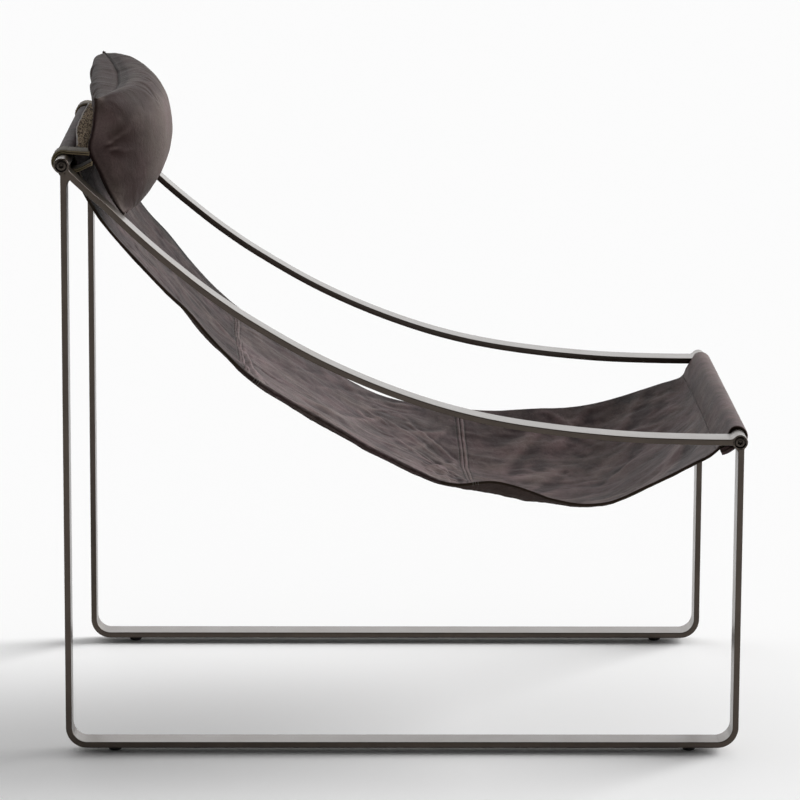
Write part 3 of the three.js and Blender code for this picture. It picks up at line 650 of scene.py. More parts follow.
def side_bar_path():
    h = BAR_T / 2
    ro = CORNER_R - h
    rear, front, low = REAR_FACE_Y - h, FRONT_FACE_Y + h, RUNNER_Z + h
    pts = [[rear, REAR_AXIS[1] - 8.4]]
    for z in (700, 500, 300, 120):
        pts.append([rear, z])
    pts += arc((rear - ro, low + ro), ro, 0, -90, 18).tolist()
    for y in (250, 0, -250):
        pts.append([y, low])
    pts += arc((front + ro, low + ro), ro, -90, -180, 18).tolist()
    for z in (120, 250, 350):
        pts.append([front, z])
    pts.append([front, FRONT_AXIS[1] - 8.4])
    return np.array(pts)


def make_side(side):
    sx = -SIDE_X if side == "right" else SIDE_X
    out = -1 if side == "right" else 1
    section = bar_section(20, 4, 1.15)
    v, f = sweep(side_bar_path(), section, sx)
    parts = Parts()
    parts.add(v, f)
    # weld fillets where the upright runs into its bosses
    for poly in (
        fillet_line_circle((REAR_FACE_Y, 700), (0, 1), (1, 0), REAR_AXIS, 10, 6.5, -1),
        fillet_line_circle((FRONT_FACE_Y, 350), (0, 1), (-1, 0), FRONT_AXIS, 10, 5.0, -1),
        fillet_line_circle((FRONT_FACE_Y + BAR_T, 350), (0, 1), (1, 0), FRONT_AXIS, 10, 8.5, -1),
    ):
        parts.add(*plate(poly, sx - 19.9, sx + 19.9, 1.0))
    # web between the rear upright and the rail
    ya, zb = REAR_FACE_Y - BAR_T, 0
    c0, c1 = np.array([ya, 752.6]), np.array([420.6, 753.6])
    corner = np.array([ya, 766.0])
    mid = np.array([430.6, 761.3])
    curve = [c0 * (1 - t) ** 2 + 2 * t * (1 - t) * np.array([ya - 1.2, 762.6]) + t**2 * np.array([427.6, 764.2]) for t in np.linspace(0, 1, 10)]
    parts.add(*plate([*curve, np.array([431.0, 772.0]), np.array([ya + 3, 772.0]), np.array([ya + 3, 752.6])], sx - 19.9, sx + 19.9, 1.0))
    place(flat_normals(parts.object(f"{side}_side_bar", [BRONZE], sharp=50)), "frame", "bronze_steel", f"side_bar_{side}")

    rail = Parts()
    rail.add(*sweep(arm_rail_path(), section, sx))
    for poly in (
        fillet_line_circle((-400, 424.25), (1, 0), (0, 1), FRONT_AXIS, 10, 7.0, 1),
        fillet_line_circle((-400, 416.3), (1, 0), (0, -1), FRONT_AXIS, 10, 3.0, 1),
        fillet_line_circle((421.6, 766), (1, 1), (-1, 1), REAR_AXIS, 10, 5.0, -1),
    ):
        rail.add(*plate(poly, sx - 19.9, sx + 19.9, 1.0))
    place(flat_normals(rail.object(f"{side}_arm_rail", [BRONZE], sharp=50)), "frame", "bronze_steel", f"arm_rail_{side}")

    for end, centre in (("rear", REAR_AXIS), ("front", FRONT_AXIS)):
        boss = [
            (-20, 4.3), (-20, 9.3), (-19.8, 9.7), (-19.3, 10.0), (19.3, 10.0), (19.8, 9.7), (20, 9.3), (20, 8.1), (19.5, 7.6),
            (10.5, 7.5), (10.5, 4.3),
        ]
        o = build(f"{end}_{side}_boss", *turned(boss, centre, 72, out, sx), [BRONZE], sharp=40)
        place(flat_normals(o), "frame", "bronze_steel", f"boss_{end}_{side}")
        head = [
            (-43.0, 0), (-43.0, 3.2), (-42.2, 4.0), (10.8, 4.0), (10.8, 6.3), (11.0, 6.5), (17.9, 6.5), (18.4, 6.3), (18.7, 5.8),
            (18.7, 3.35), (18.4, 3.0), (14.6, 3.0), (14.2, 2.6), (13.2, 0.0),
        ]
        o = build(f"{end}_{side}_cap_screw", *turned(head, centre, 48, out, sx, hexes=(9, 10, 11, 12)), [BLACK], sharp=40)
        place(o, "frame", "black_steel", f"cap_screw_{end}_{side}")
        y = REAR_FACE_Y - 64 if end == "rear" else FRONT_FACE_Y + 64
        v, f = turned([(0, 0), (0, 6.6), (0.3, 7.3), (1.0, 8.1), (2.2, 8.6), (6.2, 8.9), (6.7, 8.6), (6.7, 0)], (0, 0), 48)
        v = np.column_stack([sx + v[:, 1], y + v[:, 2], v[:, 0]])
        place(build(f"{end}_{side}_glide", v, f, [NYLON], sharp=40), "frame", "nylon", f"glide_{end}_{side}")
        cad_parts[f"tube_insert_{end}_{side}"].data.materials.clear()
        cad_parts[f"tube_insert_{end}_{side}"].data.materials.append(ZINC)


for s_ in ("right", "left"):
    make_side(s_)
for end_, centre_ in (("rear", REAR_AXIS), ("front", FRONT_AXIS)):
    h_ = 278.0 - 0.3
    o_ = build(f"{end_}_cross_tube", *turned([(-h_, 8.5), (-h_, 9.7), (-h_ + 0.3, 10), (h_ - 0.3, 10), (h_, 9.7), (h_, 8.5)], centre_, 64), [BRONZE], sharp=40)
    place(flat_normals(o_), "frame", "bronze_steel", f"cross_tube_{end_}")

# -------------------------------------------------------------------- sling
RIGHT, LEFT = catmull(EDGE_RIGHT, 500), catmull(EDGE_LEFT, 500)


def cut_at(poly, ys):
    out = [0.0]
    for y in ys:
        i = next(i for i in range(len(poly) - 1) if poly[i][0] >= y > poly[i + 1][0])
        out.append((i + (poly[i][0] - y) / (poly[i][0] - poly[i + 1][0])) / (len(poly) - 1))
    return out + [1.0]


CUT_R, CUT_L = cut_at(RIGHT, (SEAM_1_Y[0], SEAM_2_Y[0])), cut_at(LEFT, (SEAM_1_Y[1], SEAM_2_Y[1]))


def edge_at(poly, cuts, v):
    v = np.clip(v, 0, 3)
    k = np.minimum(2, np.floor(v)).astype(int)
    c = np.array(cuts)
    x = (c[k] * (1 - (v - k)) + c[k + 1] * (v - k)) * (len(poly) - 1)
    i = np.minimum(len(poly) - 2, np.floor(x)).astype(int)
    t = (x - i)[:, None]
    return poly[i] * (1 - t) + poly[i + 1] * t


def sag_at(v):
    return sum(np.interp(np.clip(v + 0.02 * k, 0, 3), SAG_TABLE[:, 0], SAG_TABLE[:, 1]) for k in (-2, -1, 0, 1, 2)) / 5


def sling_rows(v, x, behind=0.0):
    """Middle of the leather at stations v and places x: (rows, columns, 3)."""
    v, x = np.asarray(v, float), np.asarray(x, float)
    f = ((x + SLING_HALF) / (2 * SLING_HALF))[None, :, None]

    def mid(t):
        return edge_at(RIGHT, CUT_R, t)[:, None, :] * (1 - f) + edge_at(LEFT, CUT_L, t)[:, None, :] * f

    p = mid(v)
    d = mid(np.minimum(3, v + 0.04)) - mid(np.maximum(0, v - 0.04))
    d /= np.linalg.norm(d, axis=2)[:, :, None]
    down = np.stack([-d[:, :, 1], d[:, :, 0]], axis=2)
    p = p + down * (sag_at(v)[:, None, None] * 4 * f * (1 - f) + behind)
    return np.concatenate([np.broadcast_to(x[None, :, None], (*p.shape[:2], 1)), p], axis=2)


def flat_rows(points, x):
    points = np.asarray(points, float)
    out = np.zeros((len(points), len(x), 3))
    out[:, :, 0] = np.asarray(x)[None]
    out[:, :, 1] = points[:, 0, None]
    out[:, :, 2] = points[:, 1, None]
    return out


def rows_between(grid, u):
    """Rows of a grid at fractional row numbers u, on smooth lines."""
    n = len(grid)
    i = np.clip(np.floor(u).astype(int), 0, n - 2)
    t = (u - i)[:, None, None]
    a, b, c, d = (grid[np.clip(i + k, 0, n - 1)] for k in (-1, 0, 1, 2))
    return b + 0.5 * t * (c - a + t * (2 * a - 5 * b + 4 * c - d + t * (3 * (b - c) + d - a)))


HEM_R = 1.0      # middle of the leather round the folded edge
LEATHER_H = 1.0   # half of the leather's thickness
HEM_IN = 15.0    # width of the turned-under hem
COL_STEP = 2.6


def columns():
    """Places across the sling: the sleeve's edges are among them."""
    e = SLING_HALF - HEM_R
    a = np.linspace(-e, -SLEEVE_HALF, max(3, int(round((e - SLEEVE_HALF) / COL_STEP))) + 1)
    b = np.linspace(-SLEEVE_HALF, SLEEVE_HALF, int(round(2 * SLEEVE_HALF / COL_STEP)) + 1)
    return np.concatenate([a, b[1:-1], -a[::-1]])


def spaced_rows(length, fine, step, near=()):
    """Distances 0..length, closer together near the given places."""
    s, out = 0.0, [0.0]
    while s < length:
        d = min([abs(s - c) for c in near] + [1e9])
        k = 1.0 if d > 26 else (0.5 if d > 11 else fine)
        s += step * k
        out.append(s)
    out = np.array(out)
    return out * (length / out[-1])


def puckers(X, t, seed, reach, width):
    """Gathers running away from a seam, t millimetres from it."""
    env = sstep(t, 3.0, 9.0) * np.exp(-t / reach)
    w = X + 9.0 * perlin(X / 70, t / 20, seed + 3)
    n = perlin(w / width, t / 70, seed) + 0.45 * perlin(w / (width * 0.55), t / 34, seed + 1)
    zig = perlin(w / 42 + t / 30, t / 8, seed + 5)
    m = 0.35 + 0.65 * sstep(perlin(X / 60, t / 200, seed + 7), -0.35, 0.4)
    return env * m * (0.9 * n + 0.35 * zig)


def crease_lines(s1, s2, s_end):
    """The worn creases: (points (X, S), half width, height, side of the shadow valley)."""
    rnd = np.random.RandomState(77)
    lines = []

    def scatter(count, s_lo, s_hi, length, lean, width, height, x_lo=-255.0, x_hi=258.0):
        for _ in range(count):
            long_ = rnd.uniform(*length)
            x, q = rnd.uniform(x_lo, x_hi), rnd.uniform(s_lo, max(s_lo + 5.0, s_hi - long_))
            a = rnd.normal(0, lean)
            bend = rnd.normal(0, 0.006)
            k = np.linspace(0, long_, 7)
            px = x + a * (k - long_ / 2) + bend * (k - long_ / 2) ** 2 + rnd.normal(0, 3.0, 7)
            tall = height[0] + (height[1] - height[0]) * rnd.uniform(0, 1) ** 2.0
            lines.append((np.stack([np.clip(px, -262, 264), q + k], axis=1), rnd.uniform(*width), tall, rnd.choice([-1, 1])))

    scatter(22, 70, s1 - 12, (30, 100), 1.0, (4.0, 10.0), (0.5, 1.7))
    scatter(34, s1 + 12, s2 - 12, (25, 110), 1.1, (3.0, 9.0), (0.5, 1.8))
    scatter(46, s2 + 14, s_end - 40, (25, 110), 1.6, (6.0, 16.0), (0.6, 1.8))
    # beside the right edge the slack gathers into lines along the hem
    scatter(13, s1 + 30, s2 - 30, (60, 140), 0.10, (5.0, 9.0), (0.8, 2.0), -258, -190)
    # a fan that leaves the rear seam and bends along the right hem
    wide_ = np.array([[70, 8], [-20, 13], [-105, 21], [-170, 34], [-212, 56], [-236, 94], [-247, 145]], float)
    close_ = np.array([[10, 7], [-95, 8], [-165, 11], [-212, 17], [-236, 28], [-248, 46], [-255, 80]], float)
    for n in range(5):
        k = n / 4.0
        pts = wide_ * (1 - k) + close_ * k
        pts[:, 1] += s1
        lines.append((pts, 4.6, 2.2, 1 if n % 2 else -1))
    # short crossing folds where the seat pulls on the front seam of the middle panel
    for n in range(10):
        x, q = rnd.uniform(-235, 60), rnd.uniform(14, 58)
        step = rnd.uniform(60, 105)
        way = rnd.choice([-1, 1])
        pts = np.array([[x, s2 - q - 6], [x + way * 0.4 * step, s2 - q + 2], [x + way * 0.65 * step, s2 - q + 11], [x + way * 1.2 * step, s2 - q + 18]])
        pts[:, 1] = np.minimum(pts[:, 1], s2 - 7)
        lines.append((pts, rnd.uniform(4.2, 6.5), rnd.uniform(1.2, 2.0), rnd.choice([-1, 1])))
    # long slanting light folds over the middle panel's front half
    for x0, q0, x1, q1 in ((150, 118, 45, 10), (120, 96, 30, 12), (95, 120, -60, 16), (175, 92, 80, 9), (-30, 150, -150, 22), (60, 84, -20, 10)):
        k = np.linspace(0, 1, 6)
        pts = np.stack([x0 + (x1 - x0) * k + 6 * np.sin(3.1 * k), s2 - (q0 + (q1 - q0) * k)], axis=1)
        lines.append((pts, 4.4, 1.5, 1))
    # slack ridges that end at the front seam of the middle panel
    for n in range(11):
        x = -235 + 27.0 * n + rnd.uniform(-5, 5)
        long_ = rnd.uniform(30, 85)
        pts = np.array([[x, s2 - 8], [x + rnd.uniform(-4, 4), s2 - 8 - 0.35 * long_], [x + rnd.uniform(-10, 10), s2 - 8 - 0.7 * long_], [x + rnd.uniform(-16, 16), s2 - 8 - long_]])
        lines.append((pts, rnd.uniform(4.5, 7.5), rnd.uniform(1.2, 2.1), rnd.choice([-1, 1])))
    return lines


def crease_relief(X, S, lines):
    """Each crease is a rounded ridge with a shallower valley along one side."""
    out, light = np.zeros_like(X), np.zeros_like(X)
    for pts, w, h, side in lines:
        c = catmull(pts, max(36, int(np.abs(np.diff(pts, axis=0)).sum() / 3.5)))
        reach = 4.2 * w
        near = (X > c[:, 0].min() - reach) & (X < c[:, 0].max() + reach) & (S > c[:, 1].min() - reach) & (S < c[:, 1].max() + reach)
        if not near.any():
            continue
        x, q = X[near], S[near]
        t = np.gradient(c, axis=0)
        t /= np.linalg.norm(t, axis=1)[:, None]
        d2 = (x[:, None] - c[None, :, 0]) ** 2 + (q[:, None] - c[None, :, 1]) ** 2
        k = np.argmin(d2, axis=1)
        dx, dq = x - c[k, 0], q - c[k, 1]
        across = dx * t[k, 1] - dq * t[k, 0]
        past = np.abs(dx * t[k, 0] + dq * t[k, 1])
        u = k / (len(c) - 1)
        env = np.clip(np.sin(np.pi * np.clip(u * 0.94 + 0.03, 0, 1)), 0, 1) ** 0.7 * np.exp(-(np.maximum(past - 2.5, 0) / 4.0) ** 2)
        ridge = np.exp(-((across / w) ** 2))
        valley = np.exp(-(((across - side * 1.9 * w) / (1.15 * w)) ** 2))
        out[near] += h * env * (ridge - 0.62 * valley)
        # light: painted highlight along the ridge and painted shade in the valley on its shadow side
        light[near] += h * env * (ridge - 0.75 * valley)
    return out, light


def sling_relief(X, S, s1, s2, s_end):
    """How far the leather stands off its smooth shape, in mm, and a wear value: worn crests, with painted shade in the
    hollows and beside the right hem.
    """
    e = SLING_HALF - np.abs(X)
    wx = X + 13 * perlin(X / 95, S / 130, 11) + 5 * perlin(X / 37, S / 60, 12)
    ws = S + 22 * perlin(X / 85, S / 95, 13)
    on = sstep(S, 20, 70) * sstep(s_end - S, 25, 70)
    broad = 3.0 * fbm(X / 120, S / 165, 51, 2) + 1.7 * fbm(X / 52, S / 96, 52, 3, 0.55)
    a = fbm(wx / 62, ws / 58, 21, 2)
    ma = sstep(perlin(X / 90, S / 110, 31), -0.05, 0.45)
    small = 0.9 * crest(a, 0.20) * ma
    fine = 0.26 * fbm(X / 22, S / 13, 61, 3) + 0.14 * fbm(X / 7, S / 7, 62, 2)
    lines, light = crease_relief(X, S, crease_lines(s1, s2, s_end))
    gather = (
        3.0 * puckers(X, np.maximum(s2 - S, 0), 71, 26, 30) * (0.55 + 0.75 * sstep(-X, -60, 30))
        + 0.8 * puckers(X, np.maximum(S - s2, 0), 83, 18, 34)
        + 1.1 * puckers(X, np.maximum(S - s1, 0), 95, 30, 34)
        + 0.7 * puckers(X, np.maximum(s1 - S, 0), 107, 18, 34)
    )
    close = np.minimum(abs(S - s1), abs(S - s2))
    gather = gather * np.where(close < 160, 1, 0)
    # the right hem stands up as a ridge with its stitch line behind it
    right = (X < 0) * (0.35 + 0.65 * sstep(S, s1 - 200, s1 - 60) * sstep(s2 - S, 5, 60))
    hem = right * (0.45 * np.exp(-(((e - 2.2) / 1.6) ** 2)) - 0.75 * np.exp(-(((e - 5.6 + 0.5 * perlin(S / 30, 0.2, 151)) / 1.1) ** 2)))
    seam = 0.0
    for s in (s1, s2):
        d = S - s + 0.5 * perlin(X / 21, 0.3, 131 + int(s))
        seam = seam + 1.25 * (np.exp(-(((d - 2.5) / 1.45) ** 2)) + np.exp(-(((d + 2.5) / 1.45) ** 2)))
        seam = seam - 1.35 * np.exp(-((d / 0.8) ** 2)) - 0.95 * (np.exp(-(((d - 5.4) / 1.1) ** 2)) + np.exp(-(((d + 5.4) / 1.1) ** 2)))
    quiet = 0.35 + 0.65 * sstep(e, 4, 26)
    off_seam = sstep(close, 6.0, 13.0)
    seam = seam * (0.25 + 0.75 * sstep(e, 2.0, 9.0))
    relief = on * (broad * sstep(e, 0, 60) + quiet * small + lines * off_seam * sstep(e, 3, 12) + hem) + quiet * (fine + on * gather) + seam
    blot = 0.5 * fbm(X / 95, S / 48, 161, 3) + 0.55 * fbm((X + 0.3 * S) / 36, S / 30, 163, 3)
    # wear value: rubbed crests and random blotches, plus painted shade in the hollows of the relief and the puckers,
    # and the creases' painted highlight and shade (light); seam ridges lighter, seam groove darker
    wear_and_painted_light = 0.5 + 0.30 * (on * (small - 0.25) + 0.8 * on * gather + 1.2 * fine) + 0.26 * light * on * off_seam + 0.32 * seam + 0.30 * blot
    line = np.exp(-(((S - STITCH_S[0]) / 0.9) ** 2)) * sstep(e, 3, 8)
    relief = relief - 0.8 * line
    wear_and_painted_light = wear_and_painted_light - 0.7 * line
    # painted shade: darker along the right hem's edge and in the groove behind its ridge
    wear_and_painted_light = wear_and_painted_light - right * on * (0.16 * sstep(7.0 - e, 0, 1.5) + 0.42 * np.exp(-(((e - 5.6) / 1.3) ** 2)))
    return relief, np.clip(wear_and_painted_light, 0.0, 1.25), seam


FLAP_S = [1e9]   # where the front flap leaves the tube, along the sling
STITCH_S = [1e9]   # the front sleeve's stitch line


def hem_radius(S, side, s1, s2):
    """The right hem is loosely folded behind the seat seam and flat elsewhere."""
    if side > 0:
        return np.full(len(S), HEM_R)
    r = 1.05 + 1.6 * sstep(S, s1 - 70, s1 + 15) - 1.6 * sstep(S, s2 - 115, s2 - 40)
    r = np.maximum(r + 0.32 * perlin(S / 41, 0.7, 141) + 0.12 * perlin(S / 13, 0.4, 142), 0.95)
    # the flap under the front tube is rolled up loosely at this end
    return r + 3.5 * sstep(S, FLAP_S[0], FLAP_S[0] + 8)


def grid_normals(P, up):
    du = np.gradient(P, axis=0)
    dw = np.gradient(P, axis=1)
    n = np.cross(du, dw)
    n /= np.maximum(np.linalg.norm(n, axis=2), 1e-9)[:, :, None]
    return n * up


def leather_sheet(name, P, S, relief, wear_and_painted_light, seam, hem_rows, sleeve_rows, materials, radius):
    """A closed sheet of leather from its middle surface.
    hem_rows: rows whose sides are turned under. sleeve_rows: rows as narrow as the sleeve."""
    x = P[0, :, 0]
    N0 = grid_normals(P, 1.0)
    Q = P + N0 * relief[:, :, None]
    N = grid_normals(Q, 1.0)
    n, m = Q.shape[:2]
    grids, norms, uvs, wears = [], [], [], []
    # turned-under hem at each side, as extra columns round the edge
    turn = np.radians(np.linspace(0, 180, 13))[1:]
    tuck = [k for k in range(m) if 0.5 < (x[k] - x[0]) <= HEM_IN]
    for side in (-1, 1):
        col = 0 if side < 0 else m - 1
        nb = 1 if side < 0 else m - 2
        edge, up = P[:, col] + N0[:, col] * (relief - seam)[:, col, None], N0[:, col]
        T = P[:, col] - P[:, nb]
        T -= up * np.sum(T * up, axis=1)[:, None]
        T /= np.linalg.norm(T, axis=1)[:, None]
        g, nn, uu, ww = [], [], [], []
        r = radius(S, side)[:, None]
        # the wear value fades as the fold turns down and is 0 on the turned-under part: painted shade
        for a in turn:
            g.append(edge + T * r * math.sin(a) + up * r * (math.cos(a) - 1))
            nn.append(up * math.cos(a) + T * math.sin(a))
            uu.append(np.stack([np.full(n, (x[col] + side * HEM_R * a) * MM), S * MM], axis=1))
            ww.append(np.where(r[:, 0] > 1.55, 0.34 + 0.3 * perlin(S / 9, a * 2, 171), wear_and_painted_light[:, col] * (1 - 0.85 * sstep(a, 0.3, 1.6)) + 0.08))
        for k in tuck:
            kk = k if side < 0 else m - 1 - k
            g.append(Q[:, kk] - N0[:, kk] * (2 * r + seam[:, kk, None]))
            nn.append(-N0[:, kk])
            uu.append(np.stack([np.full(n, (x[col] + side * (HEM_R * math.pi + abs(x[kk] - x[col]))) * MM), S * MM], axis=1))
            ww.append(np.full(n, 0.0))
        g, nn, uu, ww = (np.stack(q, axis=1) for q in (g, nn, uu, ww))
        if side < 0:
            g, nn, uu, ww = g[:, ::-1], nn[:, ::-1], uu[:, ::-1], ww[:, ::-1]
        grids.append(g); norms.append(nn); uvs.append(uu); wears.append(ww)
    base_uv = np.stack([np.broadcast_to(x[None] * MM, (n, m)), np.broadcast_to(S[:, None] * MM, (n, m))], axis=2)
    G = np.concatenate([grids[0], Q, grids[1]], axis=1)
    M = np.concatenate([norms[0], N, norms[1]], axis=1)
    UV = np.concatenate([uvs[0], base_uv, uvs[1]], axis=1)
    W = np.concatenate([wears[0], wear_and_painted_light, wears[1]], axis=1)
    extra = grids[0].shape[1]
    cols = G.shape[1]
    mask = np.ones((n - 1, cols - 1), bool)
    j = np.arange(cols - 1)
    is_hem = (j < extra) | (j >= extra + m - 1)
    for i in range(n - 1):
        if not hem_rows[i]:
            mask[i, is_hem] = False
        if sleeve_rows[i]:
            centre = 0.5 * (G[i, :-1, 0] + G[i, 1:, 0])
            mask[i, np.abs(centre) > SLEEVE_HALF] = False
    under = np.concatenate([np.zeros((n, extra)), seam, np.zeros((n, extra))], axis=1)
    # painted shade where the fold faces down: the turned-under part gets the dark flesh-side material, and the hem's
    # turn from 60 degrees round gets the darker hem material (on a loose thick hem only a few stripes)
    t_ = len(turn)
    step_ = np.full(cols - 1, -1)     # how far round the turn each column lies
    step_[extra - t_ : extra] = np.arange(t_)[::-1]
    step_[extra + m - 1 : extra + m - 1 + t_] = np.arange(t_)
    tucked = (j < extra - t_) | (j >= extra + m - 1 + t_)
    dark = np.zeros(mask.shape, int)
    thick = radius(S[:-1], -1) > 1.55
    left_half = j < cols // 2
    for i in range(n - 1):
        plies = thick[i] & left_half
        dark[i] = np.where(tucked, 1, np.where(np.where(plies, (step_ == 1) | (step_ == 6) | (step_ >= 10), step_ >= 3), 3, 0))
    return close_sheet(name, G, M, UV, W, mask, materials, None, under, dark), (Q, N)


def close_sheet(name, G, M, UV, W, mask, materials, half=None, under=None, dark_cols=None):
    """Two layers half a thickness to each side of G, closed round their rim."""
    half = LEATHER_H if half is None else half
    n, m = G.shape[:2]
    idx = np.arange(n * m).reshape(n, m)
    a, b, c, d = idx[:-1, :-1][mask], idx[1:, :-1][mask], idx[1:, 1:][mask], idx[:-1, 1:][mask]
    top = np.stack([a, b, c, d], axis=1)
    low = np.stack([d, c, b, a], axis=1) + n * m
    pad = np.zeros((n + 1, m + 1), bool)
    pad[1:-1, 1:-1] = mask
    rim = []
    for di, dj, p, q in ((-1, 0, (0, 1), (0, 0)), (1, 0, (1, 0), (1, 1)), (0, -1, (0, 0), (1, 0)), (0, 1, (1, 1), (0, 1))):
        open_ = mask & ~pad[1 + di : n + di, 1 + dj : m + dj]
        ii, jj = np.nonzero(open_)
        s, e = idx[ii + p[0], jj + p[1]], idx[ii + q[0], jj + q[1]]
        rim.append(np.stack([e, s, s + n * m, e + n * m], axis=1))
    rim = np.concatenate(rim)
    faces = np.concatenate([top, low, rim])
    # the rim runs the other way round from the top's edge
    low_by = half if under is None else (half + under)[:, :, None]
    verts = np.concatenate([(G + M * half).reshape(-1, 3), (G - M * low_by).reshape(-1, 3)])
    mats = np.concatenate([np.zeros(len(top)), np.ones(len(low)), np.full(len(rim), 2)]).astype(int)
    if dark_cols is not None:
        mats[: len(top)] = dark_cols[mask]
    uv = np.concatenate([UV.reshape(-1, 2)] * 2)
    wear_and_painted_light = np.concatenate([W.ravel()] * 2)
    used = np.unique(faces)
    back = np.full(len(verts), -1)
    back[used] = np.arange(len(used))
    faces = back[faces]
    obj = build(name, verts[used], faces, materials, mats, uv[used], {"wear_and_painted_light": wear_and_painted_light[used]}, sharp=None)
    me = obj.data
    # crisp rim
    me.set_sharp_from_angle(angle=math.radians(60))
    return obj


def make_sling():
    x = columns()
    x0 = len(x) // 2
    dense = lambda a, b, k: np.linspace(a, b, k)
    # rear: flap behind, round the tube, then down
    under = sling_rows([0.118, 0.1, 0.082, 0.064, 0.05], x, 3.9)
    flap = np.zeros((20, len(x), 3))
    flap[:, :, 0] = x[None]
    for j in range(len(x)):
        flap[:, j, 1:] = catmull([*under[:, j, 1:], [438.5, 767.4], [449.5, 773.4]], 20)[:-1]
    wrap = arc(REAR_AXIS, REAR_WRAP_R, -45, 150, 32)
    shoulder = 0.11
    v_back = np.concatenate([[0.035, 0.055, 0.075, 0.092, shoulder], dense(shoulder + 0.012, 0.9994, 110)])
    coarse = np.concatenate([flap, flat_rows(wrap, x), sling_rows(v_back, x)])
    v_of = np.concatenate([np.full(len(flap) + len(wrap), 0.0), v_back])
    mid_v = dense(1.0006, 1.9994, 110)
    seat_v = dense(2.0006, 2.9856, 110)
    f_wrap = arc(FRONT_AXIS, FRONT_WRAP_R, 50, 268, 34)
    f_flap = catmull([[-442.3, 406.9], [-435.5, 401.4], [-428, 397.2], [-422.5, 395.6]], 16)[1:]
    seat = np.concatenate([sling_rows(seat_v, x), flat_rows(f_wrap, x), flat_rows(f_flap, x)])
    middle = sling_rows(mid_v, x)

    def column_length(grid):
        c = grid[:, x0, 1:]
        return lengths(c)

    lb, lm, ls = column_length(coarse), column_length(middle), column_length(seat)
    s_zero = lb[len(flap) + len(wrap)]
    s1 = lb[-1] - s_zero
    s2 = s1 + lm[-1]
    s_stop = s2 + ls[len(seat_v) - 1]
    s_stitch = s2 + float(np.interp(2.903, seat_v, ls[: len(seat_v)]))
    STITCH_S[0] = s_stitch
    FLAP_S[0] = s2 + ls[len(seat_v) + len(f_wrap)]
    step = 3.0
    fine = 0.3
    made = {}
    specs = (
        ("back", coarse, lb, -s_zero, (s_zero + s1,), v_of, "back"),
        ("middle", middle, lm, s1, (0.0, lm[-1]), mid_v, "middle"),
        ("seat", seat, ls, s2, (0.0, s_stitch - s2), np.concatenate([seat_v, np.full(len(f_wrap) + len(f_flap), 3.0)]), "seat"),
    )
    for key, grid, l, start, near, v, node in specs:
        at = spaced_rows(l[-1], fine, step, near)
        u = np.interp(at, l, np.arange(len(l)))
        if key == "back":
            # a row falls on the shoulder
            k = np.argmin(np.abs(u - (len(flap) + len(wrap) + 4)))
            u[k] = len(flap) + len(wrap) + 4.5
        P = rows_between(grid, u)
        P[:, :, 0] = x[None]
        S = at + start
        vv = np.interp(u, np.arange(len(l)), v)
        X, SS = np.meshgrid(x, S)
        relief, wear_and_painted_light, seam = sling_relief(X, SS, s1, s2, s_stop)
        row = np.arange(len(u) - 1)
        umid = 0.5 * (u[:-1] + u[1:])
        if key == "back":
            sleeve = umid < len(flap) + len(wrap) + 4.5
            hem = ~sleeve
        else:
            sleeve = np.zeros(len(row), bool)
            hem = np.ones(len(row), bool)
        obj, surface = leather_sheet(f"{key}_sling_leather", P, S, relief, wear_and_painted_light, seam, hem, sleeve, [{"back": BACK_LEATHER_SHADED, "middle": LEATHER, "seat": SEAT_LEATHER}[key], FLESH_SHADED, CUT, HEM_SHADE],
                                     lambda q, side: hem_radius(q, side, s1, s2))
        place(obj, "frame", "leather", f"sling_{node}_panel")
        made[key] = (obj, surface, S, l[-1])
    return made, (s1, s2, s_stop, s_stitch), x


SLING, SEAMS, COLS_X = make_sling()


# ----------------------------------------------------------------- stitches


def stitch_bodies(points, normals, pitch=3.9, length=3.1, r=0.42, lift=0.15, skip=0.0):
    """Short raised stitches along a line on a surface."""
    s = lengths(points)
    out_v, out_f, base = [], [], 0
    at = skip + pitch * 0.5
    ang = np.radians(np.arange(6) * 60)
    stations = [(-0.5, -0.75, 0.45), (-0.36, 0.1, 0.9), (0.0, 0.45, 1.0), (0.36, 0.1, 0.9), (0.5, -0.75, 0.45)]
    while at < s[-1] - skip - pitch * 0.5:
        p0 = np.array([np.interp(at - length / 2, s, points[:, k]) for k in range(3)])
        p1 = np.array([np.interp(at + length / 2, s, points[:, k]) for k in range(3)])
        nn = np.array([np.interp(at, s, normals[:, k]) for k in range(3)])
        d = p1 - p0
        ln = np.linalg.norm(d)
        if ln > 1e-6:
            d /= ln
            nn -= d * (nn @ d)
            nn /= np.linalg.norm(nn)
            b = np.cross(nn, d)
            c = (p0 + p1) / 2
            for t, h, k in stations:
                for a in ang:
                    out_v.append(c + d * (t * ln) + nn * (lift + h * r) + r * k * (math.cos(a) * b + math.sin(a) * nn * 0.8))
            for i in range(4):
                for j in range(6):
                    out_f.append((base + i * 6 + j, base + i * 6 + (j + 1) % 6, base + (i + 1) * 6 + (j + 1) % 6, base + (i + 1) * 6 + j))
            out_f.append(tuple(base + j for j in range(5, -1, -1)))
            out_f.append(tuple(base + 24 + j for j in range(6)))
            base += 30
        at += pitch
    return out_v, out_f


class Stitching:
    def __init__(self):
        self.v, self.f, self.n = [], [], 0

    def line(self, points, normals, **kw):
        v, f = stitch_bodies(np.asarray(points, float), np.asarray(normals, float), **kw)
        self.v += v
        self.f += [tuple(i + self.n for i in q) for q in f]
        self.n += len(v)

    def object(self, name, body, slot):
        v = np.array(self.v)
        first = self.f[:26]
        f = self.f
        if signed_volume(v, first) < 0:
            f = [tuple(reversed(q)) for q in f]
        o = build(name, v, f, [THREAD], closed_fix=False, sharp=None)
        return place(o, body, slot)


